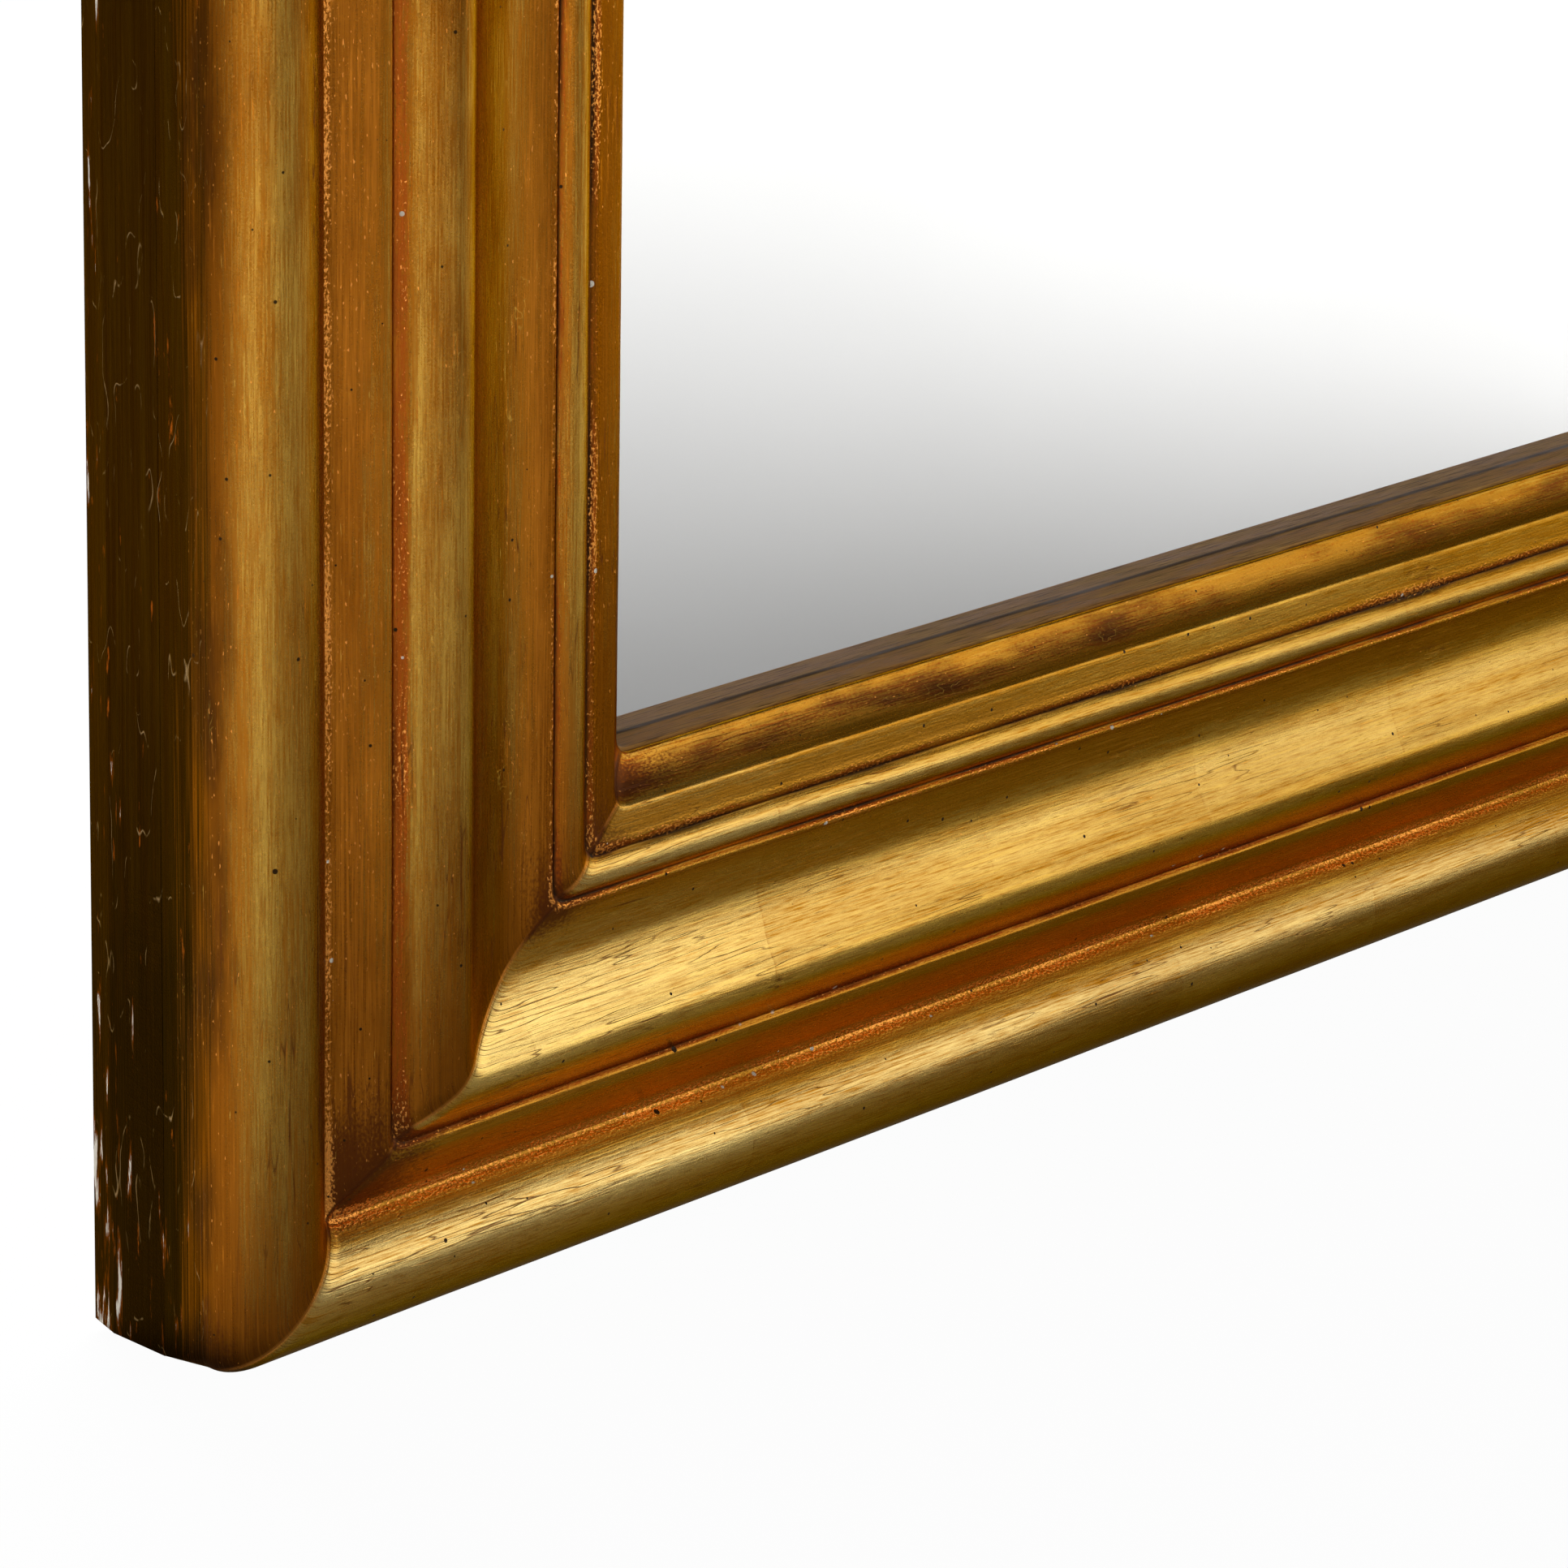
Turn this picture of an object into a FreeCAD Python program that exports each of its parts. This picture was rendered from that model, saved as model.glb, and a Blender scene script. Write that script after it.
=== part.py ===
import FreeCAD, Part
import math
import os
import Sketcher

# A gilt-framed wall mirror: mitred mouldings on a half-lapped back frame, a mirror plate behind slips,
# backboards, and two ring hangers. Millimetres, +Z up. The wall is the plane Y = 0, the mirror faces -Y
# and the origin is in the middle of the back, on the wall.

# Driving dimensions, in millimetres
driving_sizes = {
    "overall_width": 1000.0,
    "overall_height": 1400.0,
    "face_width": 120.0,             # outer edge to sight edge
    "frame_depth": 62.0,             # back of the frame to the crest of the ogee
    "cut_overrun": 5.0,              # how far every cut runs past what it cuts
    # Back frame
    "back_frame_thickness": 24.0,
    "back_arris_inset": 3.1,         # the side slopes in towards the back, with a bevel at the back arris
    "bevel_depth": 7.2,
    "side_lean": 1.65,
    "ledge_width": 14.0,             # ledge that the backboards lie on
    "dowel_diameter": 10.0,
    "dowel_clearance": 0.05,
    # Outer moulding
    "torus_width": 29.3,
    "torus_depth": 54.2,             # back of the frame to the crest of the roll
    "springing_depth": 38.0,         # where the roll leaves the sloping side
    # Sight edge, slip and plate
    "sight_drop": 10.6,              # crest of the ogee down to the sight edge
    "lip_edge": 1.5,
    "rebate_width": 13.0,
    "slip_thickness": 9.6,
    "slip_setback": 0.7,
    "plate_thickness": 5.0,
    "plate_clearance": 2.0,
    "block_length": 50.0,
    "block_foot": 14.0,
    "block_height": 10.0,
    "block_nose": 3.0,
    # Backboards
    "board_thickness": 10.0,
    "board_recess": 2.0,
    "board_clearance": 1.5,
    "board_gap": 1.0,
    "board_screw_margin": 45.0,      # board edge to the screw beside it
    # Round-headed wood screws
    "screw_diameter": 3.5,
    "screw_head_diameter": 7.0,
    "screw_head_height": 1.8,
    "screw_slot_width": 0.9,
    "screw_slot_depth": 0.9,
    "board_screw_bite": 7.0,         # how far the screws go into the back frame
    "hanger_screw_bite": 14.0,
    "screw_clearance": 0.05,
    # Ring hangers
    "hanger_drop": 350.0,            # top of the frame to the middle of the straps
    "ring_axis_setback": 3.0,        # edge of the stile to the axis of the eye
    "strap_length": 58.0,
    "strap_width": 16.0,
    "strap_thickness": 1.5,
    "strap_corner": 5.0,
    "strap_near_screw": 13.0,        # eye to screw, so that the ring folds down round its head
    "strap_far_screw": 47.0,
    "ring_wire": 4.0,
    "ring_half_width": 13.0,         # to the middle of the wire
    "ring_straight": 6.0,
    "ring_corner": 4.0,
    "eye_clearance": 0.3,
    # Wall pads
    "pad_thickness": 8.0,
    "pad_diameter": 22.0,
    "pad_inset": 48.0,
    "pad_from_end": 130.0,
}
board_names = ["bottom_backboard", "lower_backboard", "middle_backboard", "upper_backboard", "top_backboard"]
blocks_per_stile = 4
blocks_per_rail = 3
eye_mouth_angle = 200.0              # degrees, where the strap's rolled end stops
same_place = 1e-6                    # points closer than this are one point

# Places of the dowels across the lap, and of the outlines' points: depth, then inset
dowel_shares = (0.34, 0.7)
middle_share = 0.5
roll_shoulder_shares = ((0.701, 0.054), (0.894, 0.205))
roll_crown_shares = ((1.0, 0.54), (0.881, 0.82))
roll_inner_shares = ((0.79, 0.92), (0.675, 1.0))
fillet_shares = ((0.729, 0.130), (0.747, 0.159), (0.716, 0.171), (0.782, 0.198))
ogee_flank_shares = ((0.896, 0.243), (0.971, 0.283))
ogee_crest_shares = ((1.0, 0.312), (0.947, 0.358))
ogee_hollow_shares = ((0.853, 0.447), (0.811, 0.530))
ogee_rise_shares = ((0.829, 0.602), (0.892, 0.674))
quirk_shares = ((0.863, 0.685), (0.895, 0.695))
bead_shares = ((0.958, 0.739), (0.903, 0.782))
sight_fillet_shares = ((0.924, 0.796), (0.924, 0.888))
sight_hollow_share = (0.797, 0.933)

doc = FreeCAD.newDocument("gilt_mirror")
sheet = doc.addObject("Spreadsheet::Sheet", "sizes")
for row, (alias, number) in enumerate(driving_sizes.items(), start=1):
    sheet.set(f"A{row}", alias)
    sheet.set(f"B{row}", str(number))
    sheet.setAlias(f"B{row}", alias)
doc.recompute()


class Measure:
    # A number of millimetres, with the sheet formula that gives it
    def __init__(self, value, formula):
        self.value = value
        self.formula = formula

    def __add__(self, other):
        return Measure(self.value + other.value, f"({self.formula} + {other.formula})")

    def __sub__(self, other):
        return Measure(self.value - other.value, f"({self.formula} - {other.formula})")

    def __neg__(self):
        return Measure(-self.value, f"(0 - {self.formula})")

    def __mul__(self, other):
        factor = other if isinstance(other, Measure) else Measure(other, repr(other))
        return Measure(self.value * factor.value, f"({self.formula} * {factor.formula})")

    def __truediv__(self, other):
        divisor = other if isinstance(other, Measure) else Measure(other, repr(other))
        return Measure(self.value / divisor.value, f"({self.formula} / {divisor.formula})")


def size(alias):
    return Measure(getattr(sheet, alias), f"sizes.{alias}")


zero = Measure(0.0, "0")
overrun = size("cut_overrun")
width = size("overall_width")
height = size("overall_height")
face = size("face_width")
back_frame_front = size("back_frame_thickness")
ledge_depth = size("board_recess") + size("board_thickness")
rebate_inset = face - size("rebate_width")
ledge_inset = rebate_inset - size("ledge_width")
sight_depth = size("frame_depth") - size("sight_drop")
lip_back = sight_depth - size("lip_edge")
plate_front = lip_back - size("slip_thickness")
plate_back = plate_front - size("plate_thickness")
stand_off = size("pad_thickness")
board_inset = ledge_inset + size("board_clearance")
board_screw_inset = (board_inset + rebate_inset) / 2
board_length = width - board_inset * 2
board_pitch = (height - board_inset * 2 + size("board_gap")) / len(board_names)
board_height = board_pitch - size("board_gap")
eye_bore = size("ring_wire") / 2 + size("eye_clearance")
eye_outside = eye_bore + size("strap_thickness")
hanger_height = height / 2 - size("hanger_drop")
ring_axis_inset = ledge_inset - size("ring_axis_setback")
screw_hole = size("screw_diameter") / 2 + size("screw_clearance")
dowel_near = ledge_inset * dowel_shares[0]
dowel_far = ledge_inset * dowel_shares[1]


def side_inset(depth):
    # Inset of the sloping side at a depth between the bevel and the roll
    run = size("springing_depth") - size("bevel_depth")
    return size("side_lean") * ((size("springing_depth") - depth) / run)


def bind(item, name, measure):
    item.setExpression(name, measure.formula)


# Sketches

def new_sketch(body, name, role):
    sketch = body.newObject("Sketcher::SketchObject", f"{body.Name}_{name}")
    plane = next(feature for feature in body.Origin.OriginFeatures if feature.Role == role)
    sketch.AttachmentSupport = (plane, "")
    sketch.MapMode = "FlatFace"
    return sketch


def vector(point):
    return FreeCAD.Vector(point[0].value, point[1].value, 0)


def tie_point(sketch, edge, end, point):
    for kind, measure in zip(("DistanceX", "DistanceY"), point):
        index = sketch.addConstraint(Sketcher.Constraint(kind, edge, end, measure.value))
        bind(sketch, f"Constraints[{index}]", measure)


def draw(sketch, start, steps):
    # A closed outline: each step is one point, the end of a line, or two, an arc's middle and its end
    here = start
    first = None
    previous = None
    for step in steps + [(start,)]:
        if len(step) == 1:
            edge = sketch.addGeometry(Part.LineSegment(vector(here), vector(step[0])))
        else:
            edge = sketch.addGeometry(Part.Arc(vector(here), vector(step[0]), vector(step[1])))
        forward = sketch.getPoint(edge, 1).isEqual(vector(here), same_place)
        begin, end = (1, 2) if forward else (2, 1)
        if previous is None:
            first = (edge, begin)
        else:
            sketch.addConstraint(Sketcher.Constraint("Coincident", *previous, edge, begin))
        tie_point(sketch, edge, end, step[-1])
        previous = (edge, end)
        here = step[-1]
    sketch.addConstraint(Sketcher.Constraint("Coincident", *previous, *first))


def draw_circle(sketch, centre, radius):
    edge = sketch.addGeometry(Part.Circle(vector(centre), FreeCAD.Vector(0, 0, 1), radius.value))
    tie_point(sketch, edge, 3, centre)
    index = sketch.addConstraint(Sketcher.Constraint("Radius", edge, radius.value))
    bind(sketch, f"Constraints[{index}]", radius)


# Features

def new_body(label):
    body = doc.addObject("PartDesign::Body", label)
    body.AllowCompound = True
    return body


def pad(body, sketch, length, side="Symmetric", backwards=False):
    feature = body.newObject("PartDesign::Pad", f"{sketch.Name}_pad")
    feature.Profile = sketch
    feature.SideType = side
    feature.Reversed = backwards
    bind(feature, "Length", length)
    doc.recompute()
    return feature


def pocket(body, sketch, depth=None, forwards=False):
    # Cuts to a depth behind or in front of the sketch plane, or right through both ways
    before = body.Shape.Volume
    feature = body.newObject("PartDesign::Pocket", f"{sketch.Name}_pocket")
    feature.Profile = sketch
    if depth is None:
        feature.Type = "ThroughAll"
        feature.SideType = "Symmetric"
    else:
        feature.Reversed = forwards
        bind(feature, "Length", depth)
    doc.recompute()
    if not body.Shape.Volume < before:
        raise RuntimeError(f"{sketch.Name} cuts nothing")


def drill(body, name, places, radius, depth=None):
    sketch = new_sketch(body, name, "XZ_Plane")
    for place in places:
        draw_circle(sketch, place, radius)
    pocket(body, sketch, depth)


# Each side is built lying along X, with depth along Y from the back of the frame and inset along Z
# from its outer edge, and is then turned about Y to its place.
side_turns = {"bottom": 0, "left": 90, "top": 180, "right": 270}


def side_length(side):
    return width if side in ("bottom", "top") else height


def seat(item, side, along=zero):
    facing = FreeCAD.Rotation(FreeCAD.Vector(0, 0, 1), 180)
    turn = FreeCAD.Rotation(FreeCAD.Vector(0, 1, 0), side_turns[side])
    item.Placement.Rotation = turn * facing
    places = {
        "bottom": (-along, -height / 2),
        "left": (-width / 2, along),
        "top": (along, height / 2),
        "right": (width / 2, -along),
    }
    across, up = places[side]
    bind(item, "Placement.Base.x", across)
    bind(item, "Placement.Base.y", -stand_off)
    bind(item, "Placement.Base.z", up)


def seat_upright(item, across, back, up, turned=False):
    # Seats a piece built in the mirror's own directions; turned gives its mirror image on the right
    item.Placement.Rotation = FreeCAD.Rotation(FreeCAD.Vector(0, 1, 0), 180 if turned else 0)
    bind(item, "Placement.Base.x", across)
    bind(item, "Placement.Base.y", back)
    bind(item, "Placement.Base.z", up)


# Mitred mouldings

def mitred_member(label, side, start, steps):
    body = new_body(label)
    section = new_sketch(body, "section", "YZ_Plane")
    draw(section, start, steps)
    length = side_length(side)
    pad(body, section, length)
    ends = new_sketch(body, "mitres", "XZ_Plane")
    reach = face + overrun
    for hand in (1, -1):
        tip = ((length / 2 + overrun) * hand, -overrun)
        top = ((length / 2 + overrun) * hand, reach)
        heel = ((length / 2 - reach) * hand, reach)
        draw(ends, tip, [(top,), (heel,)])
    pocket(body, ends)
    seat(body, side)
    return body


def from_shares(pairs, low, high):
    # Points between two corners, given as shares of the depth and of the inset between them
    return tuple(
        (low[0] + (high[0] - low[0]) * depth_share, low[1] + (high[1] - low[1]) * inset_share)
        for depth_share, inset_share in pairs
    )


def outer_moulding(side):
    low = (back_frame_front, zero)
    high = (size("torus_depth"), size("torus_width"))
    start = (back_frame_front, side_inset(back_frame_front))
    steps = [
        ((size("springing_depth"), zero),),
        from_shares(roll_shoulder_shares, low, high),
        from_shares(roll_crown_shares, low, high),
        from_shares(roll_inner_shares, low, high),
        ((back_frame_front, size("torus_width")),),
    ]
    return mitred_member(f"{side}_outer_moulding", side, start, steps)


def inner_moulding(side):
    low = (back_frame_front, size("torus_width"))
    high = (size("frame_depth"), face)
    quirk_floor = from_shares(roll_inner_shares, (back_frame_front, zero), (size("torus_depth"), zero))[1][0]
    start = (back_frame_front, size("torus_width"))
    hollow_middle = from_shares((sight_hollow_share,), low, high)[0]
    steps = [((quirk_floor, size("torus_width")),)]
    steps += [(point,) for point in from_shares(fillet_shares, low, high)]
    steps += [
        from_shares(ogee_flank_shares, low, high),
        from_shares(ogee_crest_shares, low, high),
        from_shares(ogee_hollow_shares, low, high),
        from_shares(ogee_rise_shares, low, high),
    ]
    steps += [(point,) for point in from_shares(quirk_shares, low, high)]
    steps += [from_shares(bead_shares, low, high)]
    steps += [(point,) for point in from_shares(sight_fillet_shares, low, high)]
    steps += [
        (hollow_middle, (sight_depth, face)),
        ((lip_back, face),),
        ((lip_back, rebate_inset),),
        ((back_frame_front, rebate_inset),),
    ]
    return mitred_member(f"{side}_inner_moulding", side, start, steps)


def slip(side):
    sight = face - size("slip_setback")
    steps = [((lip_back, rebate_inset),), ((lip_back, sight),), ((plate_front, sight),)]
    return mitred_member(f"{side}_slip", side, (plate_front, rebate_inset), steps)


# Half-lapped back frame: the stiles run through behind the ledge, the rails in front of it

def lap_points(sign, length):
    return [((length / 2 - dowel_near) * sign, dowel_far), ((length / 2 - dowel_far) * sign, dowel_near)]


def back_member(label, side, front_length, rear_length, end_profile):
    body = new_body(label)
    front = new_sketch(body, "front_half", "YZ_Plane")
    draw(front, (ledge_depth, side_inset(ledge_depth)), [
        ((back_frame_front, side_inset(back_frame_front)),),
        ((back_frame_front, rebate_inset),),
        ((ledge_depth, rebate_inset),),
    ])
    pad(body, front, front_length)
    rear = new_sketch(body, "rear_half", "YZ_Plane")
    draw(rear, (zero, size("back_arris_inset")), [
        ((size("bevel_depth"), size("side_lean")),),
        ((ledge_depth, side_inset(ledge_depth)),),
        ((ledge_depth, ledge_inset),),
        ((zero, ledge_inset),),
    ])
    pad(body, rear, rear_length)
    length = side_length(side)
    ends = new_sketch(body, "sloping_ends", "XY_Plane")
    for sign in (1, -1):
        beyond = (length / 2 + overrun) * sign
        slope = [((length / 2 - inset) * sign, depth) for depth, inset in end_profile]
        last = slope[-1]
        draw(ends, (beyond, slope[0][1]), [(point,) for point in slope] + [((beyond, last[1]),)])
    pocket(body, ends)
    places = lap_points(1, length) + lap_points(-1, length)
    drill(body, "dowel_holes", places, size("dowel_diameter") / 2 + size("dowel_clearance"))
    seat(body, side)
    return body


def back_rail(side):
    profile = [(ledge_depth, side_inset(ledge_depth)), (back_frame_front, side_inset(back_frame_front))]
    return back_member(f"{side}_back_rail", side, width, width - ledge_inset * 2, profile)


def board_screw_heights():
    lowest = board_inset - height / 2
    heights = []
    for number in range(len(board_names)):
        foot = lowest + board_pitch * number
        heights.append(foot + size("board_screw_margin"))
        heights.append(foot + board_height - size("board_screw_margin"))
    return heights


def back_stile(side):
    profile = [
        (zero, size("back_arris_inset")),
        (size("bevel_depth"), size("side_lean")),
        (ledge_depth, side_inset(ledge_depth)),
    ]
    body = back_member(f"{side}_back_stile", side, height - rebate_inset * 2, height, profile)
    places = [(level, board_screw_inset) for level in board_screw_heights()]
    board_screw_tip = ledge_depth + size("board_screw_bite") + size("screw_clearance")
    drill(body, "board_screw_holes", places, screw_hole, board_screw_tip)
    up = 1 if side == "left" else -1
    distances = (size("strap_near_screw"), size("strap_far_screw"))
    places = [(hanger_height * up, ring_axis_inset - distance) for distance in distances]
    drill(body, "hanger_screw_holes", places, screw_hole, size("hanger_screw_bite") + size("screw_clearance"))
    return body


def lap_dowels():
    body = new_body("lap_dowels")
    sketch = new_sketch(body, "ends", "XZ_Plane")
    for hand in (1, -1):
        for up in (1, -1):
            for across, rise in ((dowel_near, dowel_far), (dowel_far, dowel_near)):
                centre = ((width / 2 - across) * hand, (height / 2 - rise) * up)
                draw_circle(sketch, centre, size("dowel_diameter") / 2)
    pad(body, sketch, back_frame_front, side="One side")
    seat_upright(body, zero, -stand_off, zero)
    return body


# Mirror plate and the blocks behind it

def mirror_plate():
    body = new_body("mirror_plate")
    sketch = new_sketch(body, "outline", "XZ_Plane")
    edge = rebate_inset + size("plate_clearance")
    right = width / 2 - edge
    top = height / 2 - edge
    draw(sketch, (-right, -top), [((right, -top),), ((right, top),), ((-right, top),)])
    pad(body, sketch, size("plate_thickness"), side="One side")
    seat_upright(body, zero, -(stand_off + plate_back), zero)
    return body


def plate_block(side, number, along):
    block = doc.addObject("Part::Wedge", f"{side}_plate_block_{number}")
    bind(block, "Xmin", -size("block_length") / 2)
    bind(block, "X2min", -size("block_length") / 2)
    bind(block, "Xmax", size("block_length") / 2)
    bind(block, "X2max", size("block_length") / 2)
    bind(block, "Ymin", plate_back - size("block_height"))
    bind(block, "Ymax", plate_back)
    bind(block, "Zmin", rebate_inset)
    bind(block, "Z2min", rebate_inset)
    bind(block, "Zmax", rebate_inset + size("block_nose"))
    bind(block, "Z2max", rebate_inset + size("block_foot"))
    seat(block, side, along)
    return block


def plate_blocks():
    blocks = []
    for side in side_turns:
        count = blocks_per_rail if side in ("bottom", "top") else blocks_per_stile
        run = side_length(side) - rebate_inset * 2
        for number in range(count):
            along = run * ((number + middle_share) / count) - run * middle_share
            blocks.append(plate_block(side, number + 1, along))
    group = doc.addObject("Part::Compound", "plate_blocks")
    group.Links = blocks
    return group


# Backboards and screws

def backboard(label, number):
    body = new_body(label)
    sketch = new_sketch(body, "outline", "XZ_Plane")
    right = board_length / 2
    draw(sketch, (-right, zero), [((right, zero),), ((right, board_height),), ((-right, board_height),)])
    pad(body, sketch, size("board_thickness"), side="One side", backwards=True)
    across = width / 2 - board_screw_inset
    low = size("board_screw_margin")
    places = [(across * hand, rise) for hand in (1, -1) for rise in (low, board_height - low)]
    drill(body, "screw_holes", places, screw_hole)
    foot = board_inset - height / 2 + board_pitch * number
    seat_upright(body, zero, -(stand_off + ledge_depth), foot)
    return body


def screws(label, places, seat_depth, length):
    # Slotted round-headed screws driven forwards from a seat at one depth
    body = new_body(label)
    shanks = new_sketch(body, "shanks", "XZ_Plane")
    heads = new_sketch(body, "heads", "XZ_Plane")
    for place in places:
        draw_circle(shanks, place, size("screw_diameter") / 2)
        draw_circle(heads, place, size("screw_head_diameter") / 2)
    pad(body, shanks, length, side="One side")
    pad(body, heads, size("screw_head_height"), side="One side", backwards=True)
    slots = new_sketch(body, "slots", "XZ_Plane")
    bind(slots, "AttachmentOffset.Base.z", -size("screw_head_height"))
    reach = size("screw_head_diameter") / 2 + size("screw_slot_width")
    half = size("screw_slot_width") / 2
    for across, up in places:
        corners = [((across + reach, up - half),), ((across + reach, up + half),), ((across - reach, up + half),)]
        draw(slots, (across - reach, up - half), corners)
    pocket(body, slots, size("screw_slot_depth"), forwards=True)
    seat_upright(body, zero, seat_depth, zero)
    return body


def backboard_screws():
    across = width / 2 - board_screw_inset
    places = [(across * hand, level) for hand in (1, -1) for level in board_screw_heights()]
    length = size("board_thickness") + size("board_screw_bite")
    return screws("backboard_screws", places, -(stand_off + size("board_recess")), length)


def hanger_screws():
    places = []
    for hand in (1, -1):
        for distance in (size("strap_near_screw"), size("strap_far_screw")):
            across = width / 2 - ring_axis_inset + distance
            places.append((across * hand, hanger_height))
    length = size("strap_thickness") + size("hanger_screw_bite")
    return screws("hanger_screws", places, size("strap_thickness") - stand_off, length)


# Ring hangers, built about the axis of the eye, with the ring lying inwards

def hanger_strap(side):
    body = new_body(f"{side}_hanger_strap")
    section = new_sketch(body, "section", "XY_Plane")
    mouth = math.radians(eye_mouth_angle)
    far = -size("strap_length")
    draw(section, (far, -eye_outside), [
        ((zero, -eye_outside),),
        ((eye_outside, zero), (eye_outside * math.cos(mouth), eye_outside * math.sin(mouth))),
        ((eye_bore * math.cos(mouth), eye_bore * math.sin(mouth)),),
        ((eye_bore, zero), (zero, -eye_bore)),
        ((far, -eye_bore),),
    ])
    strip = pad(body, section, size("strap_width"))
    corners = []
    for number, edge in enumerate(strip.Shape.Edges, start=1):
        at_far_end = edge.BoundBox.XMax - far.value < same_place
        if at_far_end and edge.BoundBox.ZLength < same_place:
            corners.append(f"Edge{number}")
    rounding = body.newObject("PartDesign::Fillet", f"{side}_strap_corners")
    rounding.Base = (strip, corners)
    bind(rounding, "Radius", size("strap_corner"))
    doc.recompute()
    places = [(-size("strap_near_screw"), zero), (-size("strap_far_screw"), zero)]
    drill(body, "screw_holes", places, screw_hole)
    place_hanger(body, side)
    return body


def hanger_ring(side):
    body = new_body(f"{side}_hanger_ring")
    spine = new_sketch(body, "spine", "XZ_Plane")
    half = size("ring_half_width")
    corner = size("ring_corner")
    bend = corner * (1 - math.sqrt(0.5))
    straight = size("ring_straight")
    draw(spine, (zero, zero), [
        ((zero, half - corner),),
        ((bend, half - bend), (corner, half)),
        ((straight, half),),
        ((straight + half, zero), (straight, -half)),
        ((corner, -half),),
        ((bend, bend - half), (zero, corner - half)),
    ])
    wire = new_sketch(body, "wire", "XY_Plane")
    draw_circle(wire, (zero, zero), size("ring_wire") / 2)
    loop = body.newObject("PartDesign::AdditivePipe", f"{side}_ring_loop")
    loop.Profile = wire
    loop.Spine = (spine, [f"Edge{number + 1}" for number in range(spine.GeometryCount)])
    doc.recompute()
    place_hanger(body, side)
    return body


def place_hanger(body, side):
    hand = 1 if side == "right" else -1
    across = (width / 2 - ring_axis_inset) * hand
    seat_upright(body, across, eye_outside - stand_off, hanger_height, turned=side == "right")


def wall_pads():
    body = new_body("wall_pads")
    sketch = new_sketch(body, "discs", "XZ_Plane")
    for hand in (1, -1):
        for up in (1, -1):
            centre = ((width / 2 - size("pad_inset")) * hand, (height / 2 - size("pad_from_end")) * up)
            draw_circle(sketch, centre, size("pad_diameter") / 2)
    pad(body, sketch, size("pad_thickness"), side="One side", backwards=True)
    seat_upright(body, zero, -stand_off, zero)
    return body


# The whole mirror
pieces = [back_stile(side) for side in ("left", "right")]
pieces += [back_rail(side) for side in ("top", "bottom")]
for side in side_turns:
    pieces += [outer_moulding(side), inner_moulding(side), slip(side)]
pieces += [lap_dowels(), mirror_plate(), plate_blocks()]
pieces += [backboard(label, number) for number, label in enumerate(board_names)]
pieces += [backboard_screws(), hanger_screws(), wall_pads()]
for side in ("left", "right"):
    pieces += [hanger_strap(side), hanger_ring(side)]
doc.recompute()

for item in doc.Objects:
    if "Invalid" in item.State or "Error" in item.State:
        raise RuntimeError(f"{item.Name} failed: {item.State}")
for piece in pieces:
    if piece.Shape.isNull() or not piece.Shape.isValid():
        raise RuntimeError(f"{piece.Label} has no sound shape")

os.makedirs("parts", exist_ok=True)
for piece in pieces:
    piece.Shape.exportStep(f"parts/{piece.Label}.step")
    print(piece.Label, len(piece.Shape.Solids), "solids", round(piece.Shape.Volume), "cubic mm")
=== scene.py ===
import bpy
import math
import numpy as np
from mathutils import Matrix, Vector


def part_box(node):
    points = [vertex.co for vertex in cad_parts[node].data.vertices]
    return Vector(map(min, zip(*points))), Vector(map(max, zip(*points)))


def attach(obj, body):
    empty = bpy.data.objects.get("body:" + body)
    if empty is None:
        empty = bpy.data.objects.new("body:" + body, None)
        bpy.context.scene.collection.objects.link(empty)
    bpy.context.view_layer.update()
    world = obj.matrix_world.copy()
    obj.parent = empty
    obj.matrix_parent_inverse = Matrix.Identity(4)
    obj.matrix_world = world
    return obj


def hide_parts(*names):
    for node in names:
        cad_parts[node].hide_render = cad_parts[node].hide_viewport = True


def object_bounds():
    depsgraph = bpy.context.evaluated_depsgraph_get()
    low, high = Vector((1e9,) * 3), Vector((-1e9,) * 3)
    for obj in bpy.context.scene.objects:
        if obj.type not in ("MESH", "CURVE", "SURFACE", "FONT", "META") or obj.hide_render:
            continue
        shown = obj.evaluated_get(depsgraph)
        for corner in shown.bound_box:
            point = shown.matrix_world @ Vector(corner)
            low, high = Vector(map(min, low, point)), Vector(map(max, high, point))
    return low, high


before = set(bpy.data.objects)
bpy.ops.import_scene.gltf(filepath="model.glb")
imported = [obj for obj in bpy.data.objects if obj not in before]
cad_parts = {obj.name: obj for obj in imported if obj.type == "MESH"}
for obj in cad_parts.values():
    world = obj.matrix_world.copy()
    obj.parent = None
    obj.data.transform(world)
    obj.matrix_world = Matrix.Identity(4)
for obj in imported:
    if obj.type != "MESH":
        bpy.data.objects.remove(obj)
cadLow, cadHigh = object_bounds()                    # the CAD box, before anything is added
mm = 0.001
halfWidth = cadHigh.x
halfHeight = cadHigh.z
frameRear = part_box("left_back_stile")[1].y       # back of the wooden frame, clear of the wall
print("frame loaded:", len(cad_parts), "nodes")


# Small helpers

def linear(hexCode):
    # sRGB hex to the linear colour that shaders take
    channels = [int(hexCode[i:i + 2], 16) / 255 for i in (1, 3, 5)]
    return tuple(c / 12.92 if c <= 0.04045 else ((c + 0.055) / 1.055) ** 2.4 for c in channels) + (1.0,)


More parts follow.
